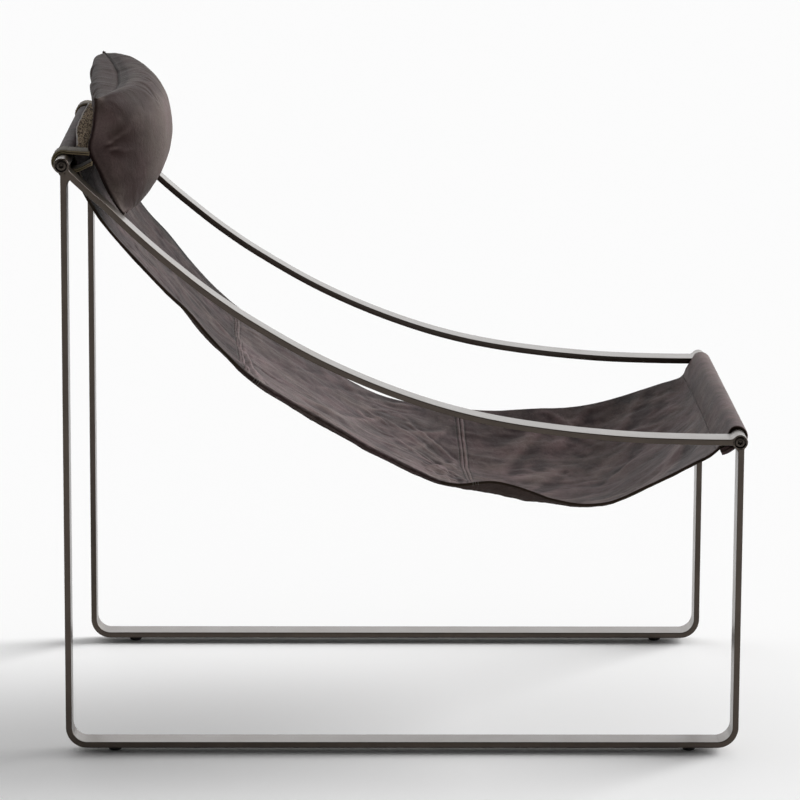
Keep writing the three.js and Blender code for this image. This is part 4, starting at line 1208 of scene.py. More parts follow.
def surface_row(key, s):
    """Points and normals of a sling panel's upper face along the row nearest s."""
    _, (Q, N), S, _ = SLING[key]
    k = int(np.argmin(np.abs(S - s)))
    return Q[k] + N[k] * LEATHER_H, N[k]


def make_sling_stitches():
    st = Stitching()
    s1, s2, s_stop, s_stitch = SEAMS
    for key, s in (("back", s1 - 5.4), ("middle", s1 + 5.4), ("middle", s2 - 5.4), ("seat", s2 + 5.4)):
        p, n = surface_row(key, s)
        st.line(p, n, skip=6)
    # sleeve seams: across the seat in front, and across the back under the tube
    p, n = surface_row("seat", s_stitch)
    st.line(p, n, skip=6, r=0.42, lift=0.0, length=3.0)
    keep = np.abs(COLS_X) < SLEEVE_HALF - 3
    p, n = surface_row("back", 27.0)
    st.line(p[keep], n[keep], skip=3)
    # short reinforcing stitches over the hem at the seat seam
    for side, key, s0 in ((0, "seat", s2 + 1), (-1, "seat", s2 + 1), (0, "middle", s1 + 1), (-1, "middle", s1 + 1)):
        _, (Q, N), S, _ = SLING[key]
        for k in range(5):
            i = int(np.argmin(np.abs(S - (s0 + 2 + 3.6 * k))))
            c = range(1, 5) if side == 0 else range(len(COLS_X) - 5, len(COLS_X) - 1)
            st.line(Q[i, c] + N[i, c] * LEATHER_H, N[i, c], pitch=5.5, length=4.6, r=0.5)
    for key, row, s0 in (("back", -1, s1), ("middle", -1, s2)):
        _, (Q, N), S, _ = SLING[key]
        for side, c, nb in ((-1, 0, 1), (1, len(COLS_X) - 1, len(COLS_X) - 2)):
            for ds, rr in ((0.0, 0.62), (-3.4, 0.45), (-6.8, 0.45)):
                i = row if ds == 0 else int(np.argmin(np.abs(S - (s0 + ds))))
                r_h = float(hem_radius(np.array([s0 + ds]), side, s1, s2)[0])
                up = N[i - 6 if ds == 0 else i, c]
                T = Q[i, c] - Q[i, nb]
                T = T - up * np.dot(T, up)
                T /= np.linalg.norm(T)
                flat_ = Q[i - 6 if ds == 0 else i, c]
                core = flat_ + (Q[i, c] - flat_) * np.array([1, 1, 1]) - up * (r_h + np.dot(Q[i, c] - flat_, up))
                ang = np.radians(np.arange(0, 181, 15))
                d = T[None] * np.sin(ang)[:, None] + up[None] * np.cos(ang)[:, None]
                st.line(core[None] + d * (r_h + LEATHER_H), d, pitch=2.0, length=1.95, r=rr)
    return st.object("sling_stitching", "frame", "leather")


make_sling_stitches()

# -------------------------------------------------------------- suede strip


def make_grip():
    x = np.linspace(-SLEEVE_HALF + 2, SLEEVE_HALF - 2, 300)
    rows = catmull([[438.2, 796.9], [434, 796.8], [430.6, 796.3], [424.5, 794.9], [418.5, 791.5], [414.5, 787]], 18)
    P = flat_rows(rows, x)
    X, U = np.meshgrid(x, np.linspace(0, 1, len(rows)))
    # its upper edge has drawn forward at the near end
    back_off = 11.0 * sstep(-X, -20, 236) ** 1.4 + 1.0 * sstep(X, 150, 236)
    for j in range(P.shape[1]):
        s_ = lengths(rows)
        at = s_[-1] - (s_[-1] - back_off[0, j]) * (1 - np.linspace(0, 1, len(rows)))
        P[:, j, 1] = np.interp(at, s_, rows[:, 0])
        P[:, j, 2] = np.interp(at, s_, rows[:, 1]) + 0.5 * back_off[0, j] / 11 * (1 - np.linspace(0, 1, len(rows))) ** 2
    wob = 0.22 * fbm(X / 28.0, U * 5.5, 201, 2)
    P[:, :, 2] += wob
    P[:, :, 1] += 0.4 * perlin(X / 30, 0.3, 205) * (1 - U)
    N = grid_normals(P, 1.0)
    if N[:, :, 2].mean() < 0:
        N = -N
    UV = np.stack([X * MM, U * 0.02], axis=2)
    # rows run towards the front, so the upper side is the outside
    along = np.array([lengths(P[:, j, 1:]) for j in range(P.shape[1])]).T
    curl = np.exp(-along / 1.5)
    P = P + N * (0.9 * curl)[:, :, None]
    obj = close_sheet("suede_grip_strip", P, N, UV, 0.5 + 0 * X, np.ones((len(rows) - 1, len(x) - 1), bool), [SUEDE, FLESH_SHADED, PALE_CUT_AND_HIGHLIGHT], 1.15)
    cells = (len(rows) - 1) * (len(x) - 1)
    mats_ = np.zeros(len(obj.data.polygons), np.int32)
    obj.data.polygons.foreach_get("material_index", mats_)
    # the upper face's first 1.5 mm along the upper edge gets the pale edge material: partly the pale cut edge, partly a
    # painted highlight
    edge_cells = (0.5 * (along[:-1] + along[1:]) < 1.5)[:, :-1].ravel()
    mats_[:cells][edge_cells] = 2
    obj.data.polygons.foreach_set("material_index", mats_)
    place(obj, "frame", "suede", "headrest_grip_strip")


make_grip()

# ----------------------------------------------------------------- headrest
PILLOW_HALF = 274.0
PILLOW_BOTTOM = np.array([[-1, 363, 712], [-0.72, 355, 711], [-0.45, 350, 716], [0, 347.5, 718], [0.5, 352, 717], [1, 364, 712]])
PILLOW_TOP = np.array([[-1, 398.5, 864], [-0.84, 392.5, 862], [-0.44, 381.5, 857], [-0.15, 380.5, 856], [0.29, 387.5, 857.5], [0.65, 400.5, 862.5], [1, 417, 867]])
FRONT_BULGE = np.array([[0, 0, -25], [0.03, 8, -20], [0.1, 19, -13], [0.2, 32, -1], [0.3, 42.5, 3.5], [0.4, 49, 8], [0.5, 53.5, 10.5],
    [0.6, 55.5, 13], [0.7, 55, 17], [0.8, 51.5, 20], [0.9, 42, 25], [0.96, 29, 32], [0.99, 13, 45], [1, 0, 50]])
BACK_BULGE = np.array([[0, 0, -10], [0.03, 5, -5], [0.15, 13, 0], [0.3, 21, 0], [0.45, 28, 0], [0.6, 32, 0], [0.7, 34, 0],
    [0.78, 35.5, 0], [0.84, 37.5, 3], [0.9, 39, 8], [0.95, 34.5, 16], [0.98, 24, 24], [0.99, 15, 27], [1, 0, 30]])
BACK_ALONG_LOW = np.array([[-1, 0.3], [-0.8, 0.5], [-0.5, 0.82], [-0.15, 1.05], [0.2, 1.08], [0.6, 1.03], [1, 1.0]])
BACK_ALONG_TOP = np.array([[-1, 0], [-0.8, 0.28], [-0.5, 0.74], [-0.15, 1.03], [0.2, 1.05], [0.6, 0.90], [0.8, 0.74], [1, 0.7]])


def look(tab, s, k):
    return np.interp(s, tab[:, 0], tab[:, k])


def pillow_seam(s, t):
    a = np.abs(s)
    bow = np.where(s < 0, 19.0, 11.0) * a**3 * np.sin(np.pi * np.clip(t, 0, 1) ** 0.85)
    # the straps draw the ends of the seam towards the tube
    bow = bow + 8.5 * a**6 * np.exp(-(((t - 0.55) / 0.13) ** 2))
    y = look(PILLOW_BOTTOM, s, 1) * (1 - t) + look(PILLOW_TOP, s, 1) * t + bow
    z = look(PILLOW_BOTTOM, s, 2) * (1 - t) + look(PILLOW_TOP, s, 2) * t
    pull = 9 * np.sin(np.pi * t) * s * a**4
    return np.stack([PILLOW_HALF * s - pull, y, z], axis=-1)


def pillow_front(s, t, grow):
    p = pillow_seam(s, t)
    a = np.radians(look(FRONT_BULGE, t, 2))
    d = look(FRONT_BULGE, t, 1) * np.sqrt(np.clip(1 - np.abs(s) ** 3.6, 0, 1)) + grow
    return p + np.stack([0 * d, -d * np.cos(a), d * np.sin(a)], axis=-1)


def pillow_back(s, t, grow):
    p = pillow_seam(s, t)
    k = 1.7 + 3.6 * np.clip((t - 0.5) / 0.3, 0, 1)
    a = np.radians(look(BACK_BULGE, t, 2))
    w = np.clip((t - 0.5) / 0.22, 0, 1)
    along = look(BACK_ALONG_LOW, s, 1) * (1 - w) + look(BACK_ALONG_TOP, s, 1) * w
    d = look(BACK_BULGE, t, 1) * np.sqrt(np.clip(1 - np.abs(s) ** k, 0, 1)) * along + grow
    return p + np.stack([0 * d, d * np.cos(a), d * np.sin(a)], axis=-1)


def smooth_grid(P, times):
    """Rounds the shape a little without moving its outline."""
    for _ in range(times):
        Q = P.copy()
        Q[1:-1, 1:-1] = 0.5 * P[1:-1, 1:-1] + 0.125 * (P[:-2, 1:-1] + P[2:, 1:-1] + P[1:-1, :-2] + P[1:-1, 2:])
        P = Q
    return P


def pillow_mesh():
    """One closed skin: front and back share the seam's points."""
    ns, nt = ((160, 50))
    i, j = np.meshgrid(np.linspace(0, 1, ns + 1), np.linspace(0, 1, nt + 1), indexing="ij")
    s = 0.35 * (2 * i - 1) + 0.65 * np.sin(np.pi / 2 * (2 * i - 1))
    t = 0.4 * j + 0.6 * (0.5 - 0.5 * np.cos(np.pi * j))
    edge = np.minimum(np.minimum(1 - np.abs(s), 0.55 * np.minimum(t, 1 - t)) * 60, 1.0)
    front = smooth_grid(pillow_front(s, t, 2.2 * edge), 6)
    back = smooth_grid(pillow_back(s, t, 2.2 * edge), 6)
    n, m = front.shape[:2]
    idx_f = np.arange(n * m).reshape(n, m)
    rim = np.zeros((n, m), bool)
    rim[0] = rim[-1] = True
    rim[:, 0] = rim[:, -1] = True
    idx_b = np.zeros((n, m), int)
    idx_b[rim] = idx_f[rim]
    inner = ~rim
    idx_b[inner] = n * m + np.arange(inner.sum())
    seam = 0.5 * (front + back)
    front[rim] = seam[rim]
    v = np.concatenate([front.reshape(-1, 3), back[inner]])
    q = lambda g: np.stack([g[:-1, :-1], g[1:, :-1], g[1:, 1:], g[:-1, 1:]], axis=-1).reshape(-1, 4)
    ff, fb = q(idx_f), q(idx_b)[:, ::-1]
    st = np.concatenate([np.stack([s, t], axis=-1).reshape(-1, 2), np.stack([s, t], axis=-1)[inner]])
    return v, ff, fb, idx_f[rim], st


def puff(v, faces, pinned):
    """Fills the stitched skin with pressure; the seam stays where it is."""
    me = bpy.data.meshes.new("puff")
    me.from_pydata((v * MM).tolist(), [], faces.tolist())
    me.update()
    o = bpy.data.objects.new("puff", me)
    scene.collection.objects.link(o)
    g = o.vertex_groups.new(name="pin")
    g.add([int(k) for k in pinned], 1.0, "REPLACE")
    c = o.modifiers.new("cloth", "CLOTH")
    st = c.settings
    st.quality = 6
    st.mass = 0.35
    st.vertex_group_mass = "pin"
    st.pin_stiffness = 1.0
    st.tension_stiffness = st.compression_stiffness = 22
    st.shear_stiffness = 12
    st.bending_stiffness = 1.6
    st.tension_damping = st.compression_damping = 12
    st.shear_damping = 10
    st.air_damping = 6
    st.shrink_min = -0.02
    st.use_pressure = True
    st.uniform_pressure_force = 4.0
    st.effector_weights.gravity = 0
    c.collision_settings.use_collision = False
    c.collision_settings.use_self_collision = False
    c.point_cache.frame_start, c.point_cache.frame_end = 1, 24
    for f in range(1, 25):
        scene.frame_set(f)
    e = o.evaluated_get(bpy.context.evaluated_depsgraph_get())
    out = np.zeros(len(e.data.vertices) * 3, np.float32)
    e.data.vertices.foreach_get("co", out)
    scene.frame_set(1)
    bpy.data.objects.remove(o)
    bpy.data.meshes.remove(me)
    return out.reshape(-1, 3).astype(float) / MM


def vertex_normals(v, faces):
    n = np.zeros_like(v)
    a, b, c, d = (v[faces[:, k]] for k in range(4))
    fn = np.cross(c - a, d - b)
    for k in range(4):
        np.add.at(n, faces[:, k], fn)
    return n / np.maximum(np.linalg.norm(n, axis=1), 1e-9)[:, None]


def neighbour_mean(v, faces, times, fixed=None):
    """Each value becomes the mean of its neighbours, several times."""
    e = np.concatenate([faces[:, [0, 1]], faces[:, [1, 2]], faces[:, [2, 3]], faces[:, [3, 0]]])
    e = np.concatenate([e, e[:, ::-1]])
    count = np.bincount(e[:, 0], minlength=len(v)).astype(float)
    out = v.copy()
    for _ in range(times):
        total = np.zeros_like(out)
        np.add.at(total, e[:, 0], out[e[:, 1]])
        new = total / np.maximum(count, 1).reshape(-1, *([1] * (v.ndim - 1)))
        out = 0.5 * out + 0.5 * new
        if fixed is not None:
            out[fixed] = v[fixed]
    return out


def make_pillow():
    v, ff, fb, rim, st = pillow_mesh()
    faces = np.concatenate([ff, fb])
    target = v.copy()
    n0 = vertex_normals(v, faces)
    if (n0 * (v - v.mean(0))).sum() < 0:
        faces = faces[:, ::-1]
        ff, fb = ff[:, ::-1], fb[:, ::-1]
        n0 = -n0
    free = np.ones(len(v), bool)
    free[rim] = False
    start = v - n0 * 3.0 * free[:, None]
    out = puff(start, faces, rim)
    move = out - target
    # the swelling goes back to the measured outline, the folds stay
    smooth = neighbour_mean(move, faces, 40, rim)
    folds = move - smooth
    far = np.linalg.norm(folds, axis=1)
    cap = 2.2
    ends = 1 - 0.7 * sstep(-st[:, 0], 0.35, 0.8)
    folds *= (ends * cap * np.tanh(far / cap) / np.maximum(far, 1e-9))[:, None]
    v = target + folds
    # fold lines that run from the seam ends, and slow dents
    s, t = st[:, 0], st[:, 1]
    n1 = vertex_normals(v, faces)
    is_back = np.zeros(len(v), bool)
    is_back[np.unique(fb)] = True
    is_back[rim] = False
    e_s = (1 - np.abs(s)) * PILLOW_HALF
    e_t = np.minimum(t, 1 - t) * 150
    q = np.arctan2(t - 0.45, 0.35 + 0 * s)
    end = np.exp(-e_s / 40) * sstep(e_s, 1, 12)
    rays = perlin(t * 9 + 0.6 * np.sign(s), e_s / 120, 301) + 0.5 * perlin(t * 19, e_s / 60, 302)
    along = np.exp(-e_t / 22) * sstep(e_t, 1, 8)
    gath = perlin(s * 13, e_t / 60, 303) + 0.6 * perlin(s * 29, e_t / 34, 304)
    smooth_end = 1 - 0.75 * sstep(-s, 0.35, 0.8) * np.where(is_back, 0.0, 1.0)
    slack = crest(fbm(s * 2.2 + t * 1.3, t * 5.5 - s * 1.1, 305, 2), 0.2)
    lines = crest(fbm(s * 5.0, t * 3.2 + 0.8 * s, 306, 2), 0.15) * sstep(perlin(s * 2, t * 2, 307), -0.2, 0.4)
    amp_back = np.where(is_back, 1.1, 0.7)
    calm = 1 - 0.75 * sstep(0.42 - t, 0, 0.2) * sstep(-s, 0.2, 0.6)
    add = amp_back * (0.9 * end * rays * calm + 0.9 * along * gath * calm) + smooth_end * (0.4 * slack * sstep(e_s, 5, 50) + 0.6 * lines * sstep(e_s, 5, 40))
    # slanting folds that leave the top seam on the back
    low = (1 - t) * 178.0
    phase = (s * PILLOW_HALF + 1.3 * low + 26 * perlin(s * 5, low / 60, 311)) / 64.0
    wave = np.exp(-((((phase % 1) - 0.5) / 0.17) ** 2)) - 0.85 * np.exp(-((((phase + 0.30) % 1 - 0.5) / 0.15) ** 2))
    some = 0.35 + 0.65 * sstep(perlin(np.floor(phase) * 1.7, 0.5 + 0 * s, 312), -0.3, 0.2)
    slant = np.where(is_back, 1.0, 0.0) * sstep(low, 4, 14) * np.exp(-((low / 62.0) ** 2)) * sstep(e_s, 6, 26) * some
    add = add + 2.0 * wave * slant
    # gathers where each strap draws on the end of the seam
    for side in (-1, 1):
        ds, dt = (1 - side * s) * PILLOW_HALF, (t - 0.55) * 150.0
        r_, a_ = np.hypot(ds, dt), np.arctan2(dt, ds + 1e-6)
        fan = np.exp(-(((a_ - 0.42) / 0.13) ** 2)) + 0.8 * np.exp(-(((a_ + 0.22) / 0.12) ** 2)) - 0.7 * np.exp(-(((a_ - 0.12) / 0.16) ** 2)) - 0.5 * np.exp(-(((a_ + 0.55) / 0.16) ** 2))
        add = add + 1.7 * np.exp(-((r_ / 36.0) ** 2)) * sstep(r_, 2, 10) * fan
    v = v + n1 * (add * free)[:, None]
    fine = v - neighbour_mean(v, faces, 5)
    n1 = vertex_normals(v, faces)
    bend = np.sum(fine * n1, axis=1)
    out_ = sstep(np.abs(s), 0.35, 0.95)
    # painted light and shade: the pillow's ends, its top band and its whole back darker and the front's middle band
    # lighter, as the light falls; bend makes crests lighter by wear
    wear_and_painted_light = 0.5 + bend * np.where(is_back, 0.15, 0.40) + 0.03 * wave * slant + np.where(is_back, 0.02, 0.42 * sstep(t, 0.1, 0.35) * sstep(0.86 - t, 0, 0.25) * (1 - out_)) - 0.30 * out_ - 0.30 * sstep(t, 0.72, 0.92) - np.where(is_back, 0.30, 0)
    rub = np.exp(-((np.minimum(t, 1 - t) / 0.035) ** 2))
    wear_and_painted_light = wear_and_painted_light + 0.30 * rub * out_ + np.where(is_back, 0.0, 0.50 * np.exp(-((e_s / 13.0) ** 2)))
    wear_and_painted_light = np.clip(wear_and_painted_light, 0.02, 1.1)
    wear_and_painted_light[rim] = 0.35

    def part(name, own):
        used = np.unique(own)
        back = np.full(len(v), -1)
        back[used] = np.arange(len(used))
        return build(name, v[used], back[own].astype(np.int32), [PILLOW_LEATHER, FLESH_SHADED, CUT], None,
                     np.stack([st[used, 0] * 0.274, st[used, 1] * 0.16], axis=1), {"wear_and_painted_light": wear_and_painted_light[used]}, sharp=None)

    # one smooth subdivision over the whole skin, so both panels meet exactly
    whole = build("whole_pillow", v, faces.astype(np.int32), [PILLOW_LEATHER], np.concatenate([np.zeros(len(ff)), np.zeros(len(fb))]),
                  st * np.array([0.274, 0.16]), {"wear_and_painted_light": wear_and_painted_light, "back": np.where(is_back, 1.0, 0.0)}, sharp=None)
    mark = whole.data.attributes.new("panel", "INT", "FACE")
    mark.data.foreach_set("value", np.concatenate([np.zeros(len(ff)), np.ones(len(fb))]).astype(np.int32))
    sub = whole.modifiers.new("sub", "SUBSURF")
    sub.levels = sub.render_levels = 1
    dg = bpy.context.evaluated_depsgraph_get()
    fine_me = bpy.data.meshes.new_from_object(whole.evaluated_get(dg))
    count = len(fine_me.vertices)
    co = np.zeros(count * 3, np.float32)
    fine_me.vertices.foreach_get("co", co)
    co = co.reshape(-1, 3).astype(float) / MM
    fq = np.zeros(len(fine_me.polygons) * 4, np.int32)
    fine_me.polygons.foreach_get("vertices", fq)
    fq = fq.reshape(-1, 4)
    panel = np.zeros(len(fq), np.int32)
    fine_me.attributes["panel"].data.foreach_get("value", panel)
    w2 = np.zeros(count, np.float32)
    fine_me.attributes["wear_and_painted_light"].data.foreach_get("value", w2)
    uvl = np.zeros(len(fine_me.loops) * 2, np.float32)
    fine_me.uv_layers[0].data.foreach_get("uv", uvl)
    uv = np.zeros((count, 2))
    uv[fq.ravel()] = uvl.reshape(-1, 2)
    bpy.data.objects.remove(whole)
    bpy.data.meshes.remove(fine_me)
    # sewn seam: a groove with a low swelling beside it
    on_front, on_back = np.zeros(count, bool), np.zeros(count, bool)
    on_front[fq[panel == 0].ravel()] = True
    on_back[fq[panel == 1].ravel()] = True
    seam = on_front & on_back
    tree = KDTree(int(seam.sum()))
    for k, p in enumerate(co[seam]):
        tree.insert(p, k)
    tree.balance()
    dist = np.array([tree.find(p)[2] for p in co])
    nn = vertex_normals(co, fq)
    groove = -1.0 * np.exp(-((dist / 1.1) ** 2)) + 0.4 * np.exp(-(((dist - 4.0) / 2.4) ** 2))
    co = co + nn * groove[:, None]
    w2 = w2 - 0.45 * np.exp(-((dist / 2.0) ** 2)) + 0.12 * np.exp(-(((dist - 4.5) / 2.6) ** 2))
    nn = vertex_normals(co, fq)
    made = {}
    for k, name, node in ((0, "pillow_front_leather", "headrest_front_panel"), (1, "pillow_back_leather", "headrest_back_panel")):
        own = fq[panel == k]
        used = np.unique(own)
        back = np.full(count, -1)
        back[used] = np.arange(len(used))
        o = build(name, co[used], back[own].astype(np.int32), [PILLOW_LEATHER, FLESH_SHADED, CUT], None, uv[used], {"wear_and_painted_light": w2[used]}, sharp=None)
        m = o.modifiers.new("thickness", "SOLIDIFY")
        m.thickness = 1.6 * MM
        m.offset = -1
        m.use_even_offset = False
        m.material_offset = 1
        m.material_offset_rim = 2
        place(o, "headrest", "leather", node)
        made[k] = o
    # wadding inside the two panels, well clear of their seam
    si, ti = np.meshgrid(np.linspace(-1, 1, 61), np.linspace(0, 1, 25), indexing="ij")
    ins, int_ = 0.93 * np.sin(np.pi / 2 * si), 0.07 + 0.86 * (0.5 - 0.5 * np.cos(np.pi * ti))
    front, back_side = smooth_grid(pillow_front(ins, int_, -7.5), 4), smooth_grid(pillow_back(ins, int_, -7.5), 4)
    seam_i = pillow_seam(ins, int_)
    front[..., 1] = np.minimum(front[..., 1], seam_i[..., 1] - 0.6)
    back_side[..., 1] = np.maximum(back_side[..., 1], seam_i[..., 1] + 0.6)
    ni, mi = front.shape[:2]
    own_f = np.arange(ni * mi).reshape(ni, mi)
    edge_ = np.zeros((ni, mi), bool)
    edge_[0] = edge_[-1] = True
    edge_[:, 0] = edge_[:, -1] = True
    own_b = np.zeros((ni, mi), int)
    own_b[edge_] = own_f[edge_]
    own_b[~edge_] = ni * mi + np.arange((~edge_).sum())
    front[edge_] = 0.5 * (front[edge_] + back_side[edge_])
    vi = np.concatenate([front.reshape(-1, 3), back_side[~edge_]])
    quad = lambda g: np.stack([g[:-1, :-1], g[1:, :-1], g[1:, 1:], g[:-1, 1:]], axis=-1).reshape(-1, 4)
    fi = np.concatenate([quad(own_f), quad(own_b)[:, ::-1]])
    vi = neighbour_mean(vi, fi, 3)
    uvi = np.concatenate([np.stack([ins, int_], axis=-1).reshape(-1, 2), np.stack([ins, int_], axis=-1)[~edge_]]) * np.array([0.274, 0.16])
    o = build("pillow_wadding", vi, fi.astype(np.int32), [WADDING], None, uvi, {"wear_and_painted_light": np.full(len(vi), 0.5)}, sharp=None)
    if signed_volume(vi, fi) < 0:
        o.data.flip_normals()
    place(o, "headrest", "filling", "headrest_filling")
    return made, co, fq, panel, nn


PILLOW, PIL_V, PIL_F, PIL_PANEL, PIL_N = make_pillow()


def pillow_tree(side):
    own = PIL_F[PIL_PANEL == side]
    return BVHTree.FromPolygons(PIL_V.tolist(), own.tolist())


BACK_TREE = pillow_tree(1)


def on_back(p, lift):
    """The place on the pillow's back nearest to p, lifted off it, and the normal there."""
    q, n, _, _ = BACK_TREE.find_nearest(Vector(p))
    q, n = np.array(q), np.array(n)
    if n @ (q - np.array([0, 374, 800])) < 0:
        n = -n
    return q + n * lift, n


# ------------------------------------------------------------------ the zip


def make_zip():
    s = np.linspace(-0.62, 0.62, 171)
    base = np.stack([pillow_back(s, np.full_like(s, t), 2.2) for t in (0.055, 0.095, 0.135)])
    mid, nrm = [], []
    for p in base[1]:
        q, n = on_back(p, 0.0)
        mid.append(q); nrm.append(n)
    mid, nrm = np.array(mid), np.array(nrm)
    for _ in range(3):
        nrm[1:-1] = (nrm[:-2] + nrm[1:-1] + nrm[2:]) / 3
        mid[1:-1] = (mid[:-2] + 2 * mid[1:-1] + mid[2:]) / 4
    nrm /= np.linalg.norm(nrm, axis=1)[:, None]
    d = np.gradient(mid, axis=0)
    d /= np.linalg.norm(d, axis=1)[:, None]
    up = np.cross(d, nrm)
    up /= np.linalg.norm(up, axis=1)[:, None]
    if up[:, 2].mean() < 0:
        up = -up
    parts = Parts()
    # two woven tapes, each lying on the leather, with the teeth between them
    for a, b in ((1.3, 8.4), (-8.4, -1.3)):
        w = np.linspace(a, b, 7)
        G = np.zeros((len(s), len(w), 3))
        for j, x in enumerate(w):
            for i in range(len(s)):
                p, n = on_back(mid[i] + up[i] * x, 0.75)
                G[i, j] = p
        nn = grid_normals(G, 1.0)
        if np.sum(nn * nrm[:, None]) < 0:
            nn = -nn
        n_, m_ = G.shape[:2]
        top, low = (G + nn * 0.35).reshape(-1, 3), (G - nn * 0.45).reshape(-1, 3)
        idx = np.arange(n_ * m_).reshape(n_, m_)
        faces = []
        for i in range(n_ - 1):
            for j in range(m_ - 1):
                q = (idx[i, j], idx[i + 1, j], idx[i + 1, j + 1], idx[i, j + 1])
                faces.append(q)
                faces.append(tuple(k + n_ * m_ for k in reversed(q)))
        ring = [*idx[:, 0], *idx[-1, 1:], *idx[-2::-1, -1], *idx[0, -2:0:-1]]
        for k in range(len(ring)):
            p, q = ring[k], ring[(k + 1) % len(ring)]
            faces.append((q, p, p + n_ * m_, q + n_ * m_))
        parts.add(np.vstack([top, low]), [tuple(int(x) for x in f) for f in faces], 0)
    # coil teeth
    L = lengths(mid)
    at, k = 1.5, 0
    while at < L[-1] - 1.5:
        p = np.array([np.interp(at, L, mid[:, q]) for q in range(3)])
        n = np.array([np.interp(at, L, nrm[:, q]) for q in range(3)])
        u = np.array([np.interp(at, L, up[:, q]) for q in range(3)])
        f = np.cross(u, n)
        c = p + n * 1.55 + u * (0.55 if k % 2 else -0.55)
        v = []
        for x, w, h in ((-1.5, 0.35, 0.35), (-1.2, 0.5, 0.55), (1.2, 0.5, 0.55), (1.5, 0.35, 0.35)):
            for a in np.radians([45, 135, 225, 315]):
                v.append(c + u * x + f * (w * 1.1 * math.cos(a)) + n * (h * 1.2 * math.sin(a)))
        parts.add(v, rings_faces(4, 4), 1)
        at += 1.25
        k += 1
    # slider and pull at the right-hand end
    p, n, u = mid[4], nrm[4], up[4]
    f = np.cross(u, n)
    def block(c, lx, ly, lz, mat, taper=0.8):
        v = []
        for z, k in ((-0.5, 0.85), (-0.3, 1.0), (0.3, 1.0), (0.5, 0.85)):
            for a, b in ((-1, -0.6), (-0.6, -1), (0.6, -1), (1, -0.6), (1, 0.6), (0.6, 1), (-0.6, 1), (-1, 0.6)):
                v.append(c + f * (a * lx / 2 * k) + u * (b * ly / 2 * k) + n * (z * lz))
        parts.add(v, rings_faces(4, 8), mat)
    block(p + n * 2.0, 9, 7.5, 1.1, 2)
    block(p + n * 3.6, 5, 2.6, 2.2, 2)
    block(p + n * 3.4 + f * -9.5, 19, 5.2, 1.2, 2)
    o = parts.object("pillow_zip", [ZIP_TAPE, ZIP_TEETH, BLACK], sharp=40)
    place(o, "headrest", "zip_tape", "headrest_zip")
    st = Stitching()
    for x in (-6.6, 6.6):
        line, nn = [], []
        for i in range(len(s)):
            q, m = on_back(mid[i] + up[i] * x, 1.12)
            line.append(q); nn.append(m)
        st.line(line, nn, pitch=3.4, length=2.6, r=0.32, lift=0.0)
    return st


ZIP_STITCHES = make_zip()


# --------------------------------------------------------------- the straps


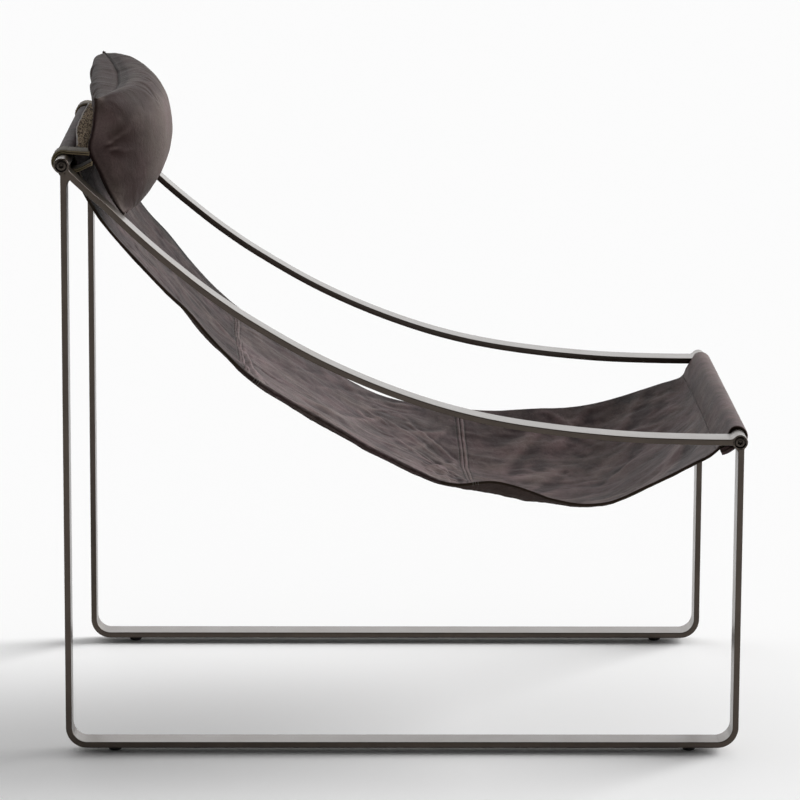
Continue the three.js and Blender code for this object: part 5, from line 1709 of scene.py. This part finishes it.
def make_strap(side, st):
    sign = -1 if side == "right" else 1
    x_mid = sign * (SLEEVE_HALF + 0.7 + 22)
    c = REAR_AXIS

    def path(r, out):
        # out: how far this ply lies outside the loop's middle line
        top = [[407.5, 792.3 + out], [413.0, 792.7 + out], [426.0, 793.6 + out]]
        low = [[424.5, 770.4 - out], [416.0, 773.6 - out], [409.0, 777.2 - out], [404.0, 779.4 - out]]
        loop = arc(c, r, 108, -100, 60).tolist()
        pts = np.array([*top, *loop, *low])
        return catmull(pts, 150)

    parts = Parts()
    section = bar_section(21.8, 1.2, 0.9, 3)
    ply_wear = []
    for r, out in ((11.7, -1.3), (14.3, 1.3)):
        p = path(r, out)
        u = np.linspace(0, 1, len(p))
        v, f = sweep(p, section, x_mid)
        v = v.reshape(len(p), len(section), 3)
        # slack, slightly uneven edges
        wob = 0.5 * perlin(u * 9, 0.2, 401 + (0 if side == "right" else 9))
        v[:, :, 0] += wob[:, None] * np.sign(v[:, :, 0] - x_mid) * 0.6
        parts.add(v.reshape(-1, 3), f)
        h = np.abs(np.array(section)[:, 1])
        ply_wear += list(np.tile(np.where(h < 0.75, 1.0, 0.12), len(p)))
    o = parts.object(f"{side}_strap_loop", [STRAP_LEATHER], sharp=60)
    o.data.attributes.new("wear_and_painted_light", "FLOAT", "POINT").data.foreach_set("value", np.array(ply_wear, np.float32))
    place(o, "headrest", "strap_leather", f"strap_loop_{side}")
    total = sum(lengths(path(r, out))[-1] for r, out in ((11.7, -1.3), (14.3, 1.3)))
    # rows of stitches along both edges of the outer ply
    p = path(14.25, 1.25)
    t = np.gradient(p, axis=0)
    t /= np.linalg.norm(t, axis=1)[:, None]
    out_n = np.stack([t[:, 1], -t[:, 0]], axis=1)
    mid = p.mean(0)
    if np.sum(out_n * (p - np.array([430, 781.9]))) < 0:
        out_n = -out_n
    for dx in (-18.2, 18.2):
        line = np.column_stack([np.full(len(p), x_mid + dx), p + out_n * 1.15])
        nn = np.column_stack([np.zeros(len(p)), out_n])
        st.line(line, nn, pitch=3.9, length=3.0, r=0.4)


for s_ in ("right", "left"):
    make_strap(s_, ZIP_STITCHES)
ZIP_STITCHES.object("headrest_stitching", "headrest", "strap_leather")


# -------------------------------------------------------- floor and lighting


def make_stage():
    me = bpy.data.meshes.new("floor")
    k = 30.0
    me.from_pydata([(-k, -k, 0), (k, -k, 0), (k, k, 0), (-k, k, 0)], [], [(0, 1, 2, 3)])
    floor = bpy.data.objects.new("floor", me)
    scene.collection.objects.link(floor)
    n = Nodes("pale_floor")
    n.bsdf.inputs["Base Color"].default_value = (0.93, 0.93, 0.93, 1)
    n.const(Roughness=0.9, Specular_IOR_Level=0.0)
    me.materials.append(n.m)
    # soft studio room: pale behind the chair and above it, dim on the other side
    world = bpy.data.worlds.new("studio")
    scene.world = world
    world.use_nodes = True
    tree = world.node_tree
    bg = tree.nodes["Background"]
    coord = tree.nodes.new("ShaderNodeTexCoord")
    split = tree.nodes.new("ShaderNodeSeparateXYZ")
    tree.links.new(coord.outputs["Generated"], split.inputs[0])
    side = tree.nodes.new("ShaderNodeMapRange")
    side.interpolation_type = "SMOOTHSTEP"
    tree.links.new(split.outputs["X"], side.inputs["Value"])
    side.inputs["From Min"].default_value, side.inputs["From Max"].default_value = -0.30, 0.95
    side.inputs["To Min"].default_value, side.inputs["To Max"].default_value = 0.14, 1.50
    bg.inputs["Color"].default_value = (1, 1, 1, 1)
    tree.links.new(side.outputs[0], bg.inputs["Strength"])
    sun = bpy.data.lights.new("key_soft", "SUN")
    sun.energy = 3.7
    sun.angle = math.radians(40)
    o = bpy.data.objects.new("key_soft", sun)
    scene.collection.objects.link(o)
    o.location = (0.5, -2.6, 2.2)
    o.rotation_mode = "QUATERNION"
    o.rotation_quaternion = Vector((-0.42, 0.82, -0.42)).to_track_quat("-Z", "Y")
    scene.view_settings.view_transform = "Standard"
    scene.view_settings.look = "None"
    scene.view_settings.exposure = 0.0
    scene.view_settings.gamma = 1.0


make_stage()
